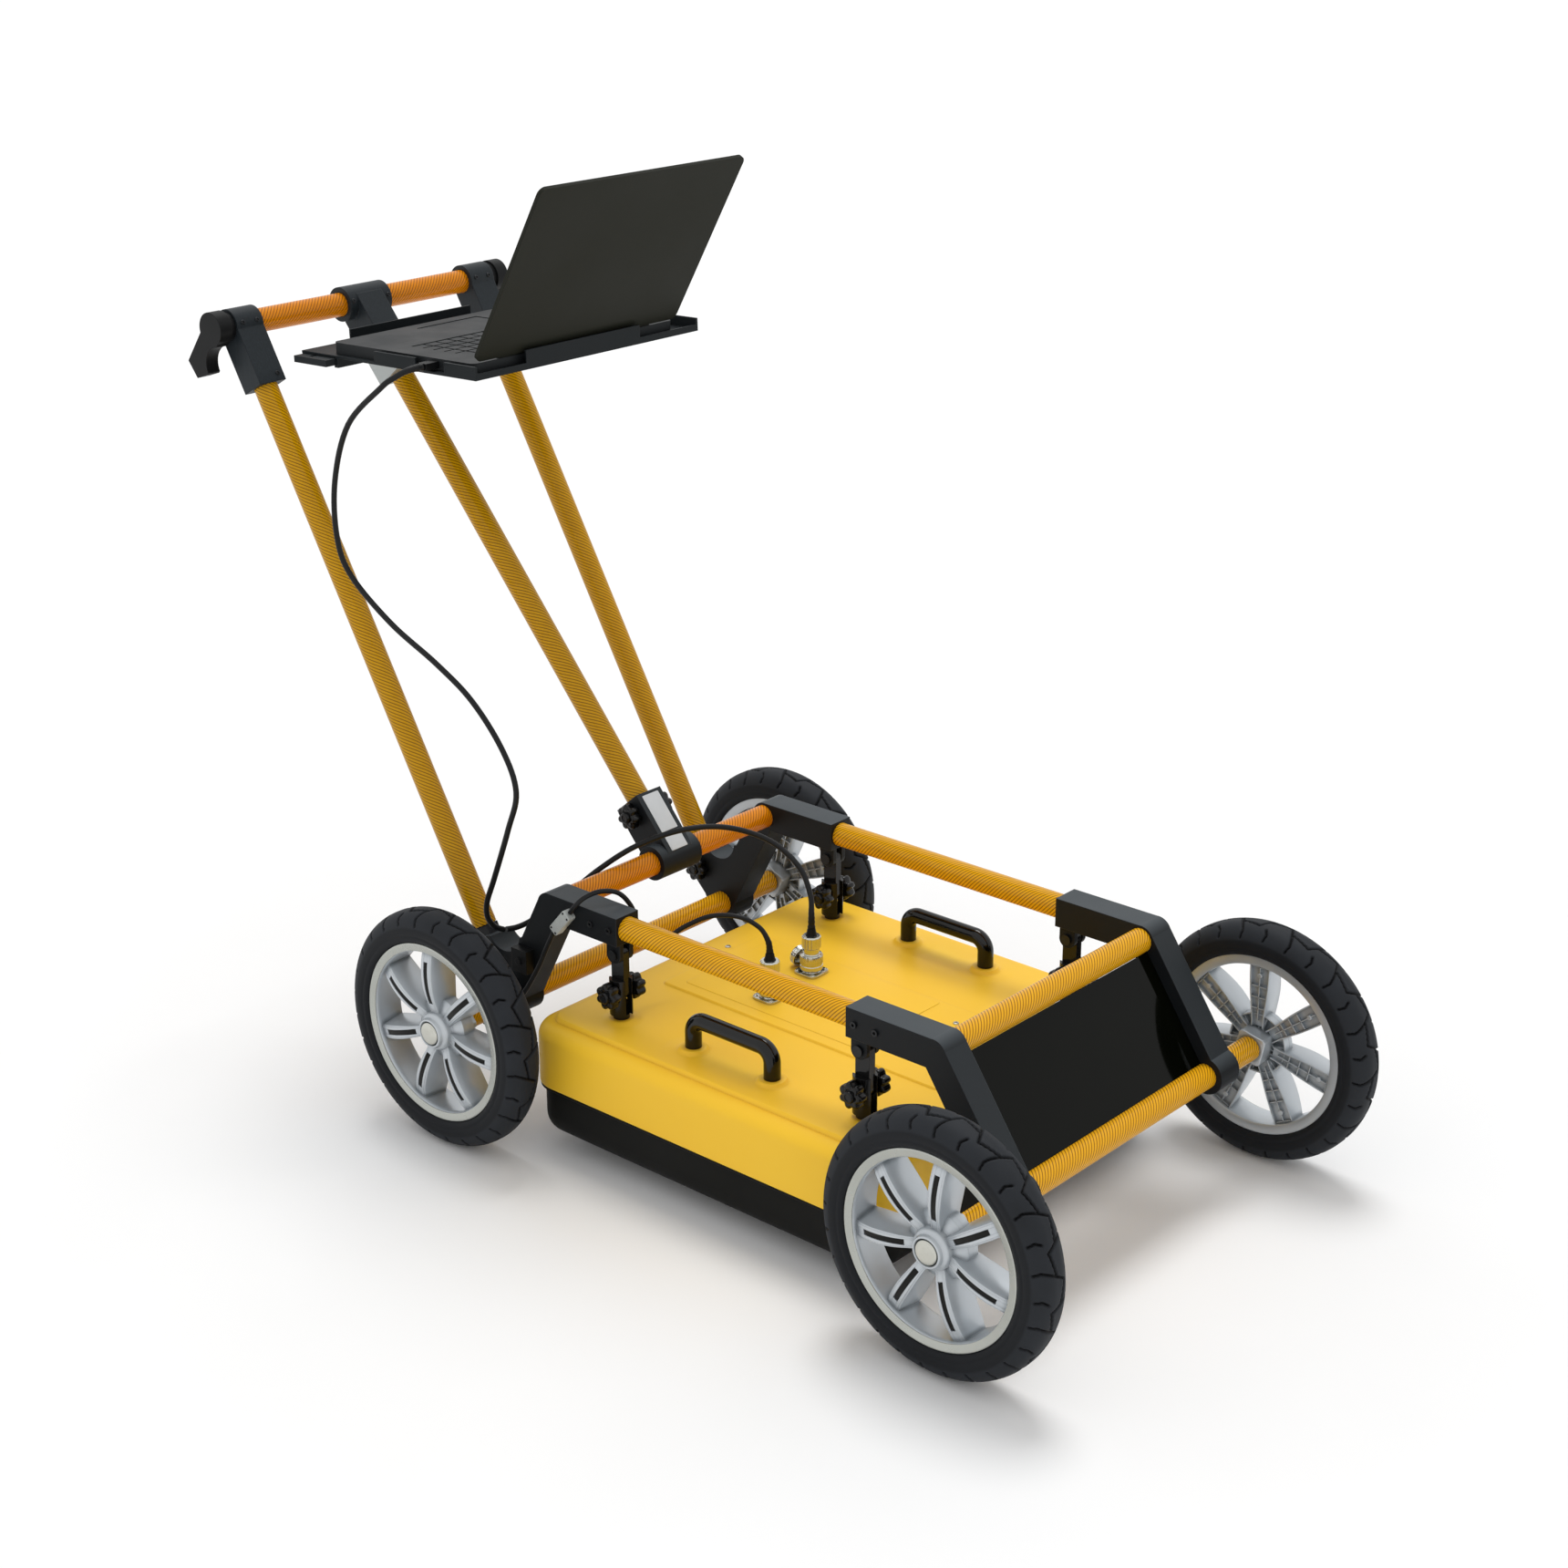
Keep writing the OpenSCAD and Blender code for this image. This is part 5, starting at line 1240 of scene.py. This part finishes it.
def dust_cap():
    """The cap that hangs beside a connector, with a grip around it."""
    cap = lathe("cap", [
        (0, 0), (11.6, 0), (11.6, 6), (12.4, 6), (12.4, 0.4), (13, 0), (13.4, 0.6), (13.4, 8),
        (12.6, 9), (0, 9.6),
    ], 48)
    ridge = box_mesh("ridge", (13.2, -0.5, 1.6), (13.9, 0.5, 7.4))
    return joined("cap", [finish_mesh(cap, nickel), ringed(ridge, 30, nickel)])


def make_connectors():
    sockets, plugs = [], []
    flange, plug = finish_mesh(socket_flange(), nickel), plug_body()
    for x, y in socket_places:
        sockets.append(shifted(flange, x, y, band_high))
        plugs.append(shifted(plug, x, y, band_high))
    for node, parts in (("connector_sockets", sockets), ("antenna_plugs", plugs)):
        piece(node + "_detail", finish_mesh(joined(node, parts), None), "antenna", [node])
    cap_at = Vector((-131, 52, 188.6)) * MM
    cap = moved(dust_cap(), facing(cap_at, (-0.95, 0.2, 0.24), (0, 0, 1)))
    chain_route = (
        (-136, 55, 186), (-142, 62, 180), (-138, 68, 176.5), (-130, 64, 177.5), (-126, 60, 178.5)
    )
    points = smooth_route(chain_route, 10)
    bead_r, link_r = 1.1 * MM, 0.6 * MM
    beads = [bead_r if i % 3 else link_r for i in range(len(points))]
    chain = finish_mesh(swept("chain", points, beads, 8), nickel)
    mesh = finish_mesh(joined("dust_cap", [cap, chain]), None)
    piece("connector_dust_cap", mesh, "antenna")


make_cover()
make_cover_screws()
make_connectors()


# Knobs, plates, box and screws

def star_knob():
    """A knob of soft lobes around a round boss, standing on z = 0."""
    rows = (
        (0, 0.8), (1, 0.93), (3, 1), (9.5, 1), (12, 0.96), (13.4, 0.87), (14, 0.74), (13.8, 0.6),
        (13.2, 0.5), (13.2, 0.44), (16.2, 0.42), (17, 0.37), (16.9, 0.24), (16, 0.22),
    )
    valley_share = 0.24
    boss_scale, lobed_scale = 0.44, 0.6
    steps = 12 * knob_lobes
    rings = []
    for z, scale in rows:
        lobed = ease(scale, boss_scale, lobed_scale)
        around = []
        for k in range(steps):
            angle = 2 * math.pi * k / steps
            valley = lobed * valley_share * (0.5 - 0.5 * math.cos(knob_lobes * angle)) ** 1.5
            r = knob_r * scale * (1 - valley)
            around.append((r * math.cos(angle), r * math.sin(angle), z))
        rings.append(around)
    return finish_mesh(loft("knob", rings), nylon, 50)


def bolt(r, low, high):
    """A plain shank with softened ends."""
    return finish_mesh(lathe("bolt", [
        (0, low), (r - 0.5, low), (r, low + 0.5), (r, high - 0.5), (r - 0.5, high), (0, high)
    ], 32), turned_steel)


def knob_piece(node, parts):
    piece(node + "_detail", finish_mesh(joined(node, parts), None, 50), node, [node])


def make_knobs():
    knob = star_knob()
    away, back = Vector((0, -1, 0)), Vector((0, 1, 0))
    up = (0, 0, 1)
    hanger_half_w, socket_half_w = 14.5 * MM, 21.5 * MM
    hanger_bolt = bolt(4, -16, 16)
    pivot_bolt = bolt(5, -44.5, 1)
    strut_bolt = bolt(4, -5.7, 1)
    for name in wheel_names:
        node = f"height_knobs_{name}"
        lo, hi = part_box(node)
        middle = (lo + hi) / 2
        parts = [moved(knob, facing(middle + hanger_half_w * way, way, up)) for way in (away, back)]
        parts.append(moved(hanger_bolt, facing(middle, away, up)))
        knob_piece(node, parts)
    for side, sign in (("left", 1), ("right", -1)):
        node = f"pivot_knob_{side}"
        seat = Vector((pivot.x, (sign * bracket_y - bracket_half_w - 0.5) * MM, pivot.z))
        parts = [moved(mesh, facing(seat, away, up)) for mesh in (knob, pivot_bolt)]
        knob_piece(node, parts)
    lo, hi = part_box("strut_knobs")
    middle = (lo + hi) / 2
    parts = []
    for way in (away, back):
        seat = middle + socket_half_w * way
        parts += [moved(mesh, facing(seat, way, up)) for mesh in (knob, strut_bolt)]
    knob_piece("strut_knobs", parts)


def make_socket_plates():
    """The two bare plates on the front of the strut's socket."""
    out = Vector((strut_dir.z, 0, -strut_dir.x))
    face_at = 22.5
    plates = []
    for along, half_len in ((53, 26), (11, 10)):
        place = rear_top + (along * strut_dir + face_at * out) * MM
        mesh = finish_mesh(plate("plate", (14, half_len), 1.2, 0.6, 0.2), foil_plate)
        plates.append(moved(mesh, facing(place, out, strut_dir)))
    piece("strut_socket_plates", joined("strut_socket_plates", plates), "strut_socket")


def make_junction_box():
    """The small box on the bracket: two shells with a seam, a ribbed face and a screw in each corner."""
    half_w, half_l, depth, corner_r = 7, 19, 12, 2.4
    lo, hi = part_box("junction_box")
    middle = (lo + hi) / 2
    lean_degrees = 41
    lean = math.radians(lean_degrees)
    up = Vector((math.sin(lean), 0, math.cos(lean)))
    back = Vector((middle.x, hi.y, middle.z))
    rings = []
    rows = (
        (0.4, 0), (0, 0.6), (0, 5.6), (0.5, 6), (0.5, 6.6), (0, 7), (0, depth - 1.2),
        (0.5, depth - 0.6), (1.4, depth - 0.5),
    )
    for inset, z in rows:
        outline = rounded_outline(half_w - inset, half_l - inset, corner_r)
        rings.append([(x, y, z) for x, y in outline])
    parts = [finish_mesh(loft("shells", rings), grey_shell)]
    ribs, rib_pitch = 7, 2.6
    rib = finish_mesh(plate("rib", (4.4, 0.7), 0.5, 0.5, 0.2), grey_shell)
    for k in range(ribs):
        parts.append(shifted(rib, 0, (k - (ribs - 1) / 2) * rib_pitch, depth - 0.6))
    head = finish_mesh(screw_head(1.5, 0.5), black_steel)
    parts += [shifted(head, x, y, depth - 0.5) for x, y in four_corners(4.4, 15.6)]
    box = joined("junction_box", parts)
    box.transform(facing(back, (0, -1, 0), up))
    piece("junction_box_detail", finish_mesh(box, None), "chassis", ["junction_box"])


def make_handle_screws():
    """Screws of the end brackets and of the strut's top clamp, small and dark."""
    head = finish_mesh(screw_head(3, 1.4), black_steel)
    across = Vector((0, 1, 0))
    front = Vector((leg_dir.z, 0, -leg_dir.x))
    brow_angle = math.radians(12)
    bracket_face, bracket_neck, clamp_face = 21, 18, 22
    screw_aside, clamp_aside, down_neck = 11, 29, 74
    brow = math.cos(brow_angle) * front - math.sin(brow_angle) * leg_dir
    heads = []
    for y in (bracket_y, -bracket_y):
        middle = Vector((bar.x, y * MM, bar.z))
        for aside in (screw_aside, -screw_aside):
            place = middle + (bracket_face * brow + aside * across) * MM
            heads.append(moved(head, facing(place, brow, across)))
        on_neck = bracket_neck * front - down_neck * leg_dir + screw_aside * across
        heads.append(moved(head, facing(middle + on_neck * MM, front, across)))
    piece("end_bracket_screws", joined("end_bracket_screws", heads), "handle")
    heads = []
    for aside in (clamp_aside, -clamp_aside):
        place = bar + (clamp_face * brow + aside * across) * MM
        heads.append(moved(head, facing(place, brow, across)))
    piece("top_clamp_screws", joined("top_clamp_screws", heads), "strut")


make_knobs()
make_socket_plates()
make_junction_box()
make_handle_screws()


# Solids that keep their shape and get their finish

def paint(material, *names):
    for name in names:
        mesh = nodes[name].data
        mesh.materials.clear()
        mesh.materials.append(material)


paint(anodised, "rear_brackets", "front_brackets", "leg_hinge_ends", "strut_socket")
paint(handle_black, "handle_end_brackets", "strut_top_clamp")
paint(lacquer, "hanger_links", "hanger_sleeves")
paint(turned_steel, "axle_shafts", "wheel_bearings")
paint(black_steel, "frame_screws")
paint(acrylic, "front_panel")
paint(black_abs, "wheel_encoder", "cable_clamp", "bar_ends", "laptop_plug")
paint(powder_coat, "tray", "side_shelf")
paint(bare_aluminium, "tray_bracket")
paint(laptop_plastic, "laptop_base")
paint(soft_touch, "laptop_lid")
paint(display_glass, "laptop_screen")
paint(black_pe, "antenna_base")
paint(gloss_abs, "antenna_handles")
paint(solder_mask, "radar_board")
paint(copper_foil, "bowtie_plates")


# Stage and light

def make_stage():
    material, tree = start_material("pale_studio_floor")
    place = add(tree, "ShaderNodeTexCoord").outputs["Object"]
    speck = add(tree, "ShaderNodeTexNoise", {"Vector": place, "Scale": 3, "Detail": 2})
    tint = add(
        tree, "ShaderNodeMix",
        {0: speck.outputs["Fac"], 6: linear("#f6f6f6"), 7: linear("#fafafa")}, data_type="RGBA"
    )
    shader = add(tree, "ShaderNodeBsdfPrincipled", {"Base Color": tint.outputs[2], "Roughness": 0.9})
    add(tree, "ShaderNodeOutputMaterial", {"Surface": shader.outputs[0]})
    mesh = bpy.data.meshes.new("floor")
    half_m = 40
    corners = [(-half_m, -half_m, 0), (half_m, -half_m, 0), (half_m, half_m, 0), (-half_m, half_m, 0)]
    mesh.from_pydata(corners, [], [(0, 1, 2, 3)])
    mesh.materials.append(material)
    floor = bpy.data.objects.new("floor", mesh)
    scene.collection.objects.link(floor)


def make_light():
    world = bpy.data.worlds.new("white_studio")
    scene.world = world
    world.use_nodes = True
    tree = world.node_tree
    tree.nodes.clear()
    path = add(tree, "ShaderNodeLightPath").outputs
    seen = add(
        tree, "ShaderNodeMath",
        {0: path["Is Camera Ray"], 1: path["Is Transmission Ray"]}, operation="MAXIMUM"
    )
    shown = add(tree, "ShaderNodeMath", {0: seen.outputs[0], 1: path["Is Glossy Ray"]}, operation="MAXIMUM")
    strength = add(
        tree, "ShaderNodeMapRange", {"Value": shown.outputs[0], "To Min": 0.74, "To Max": 1.0}
    )
    light = add(tree, "ShaderNodeBackground", {"Color": (1, 1, 1, 1), "Strength": strength.outputs[0]})
    add(tree, "ShaderNodeOutputWorld", {"Surface": light.outputs[0]})
    lamp = bpy.data.lights.new("soft_key", "SUN")
    lamp.energy = 1.2
    lamp.angle = math.radians(25)
    key = bpy.data.objects.new("soft_key", lamp)
    scene.collection.objects.link(key)
    key.matrix_world = Vector((0.2, -0.25, -1)).to_track_quat("-Z", "Y").to_matrix().to_4x4()


make_stage()
make_light()
scene.view_settings.view_transform = "Standard"
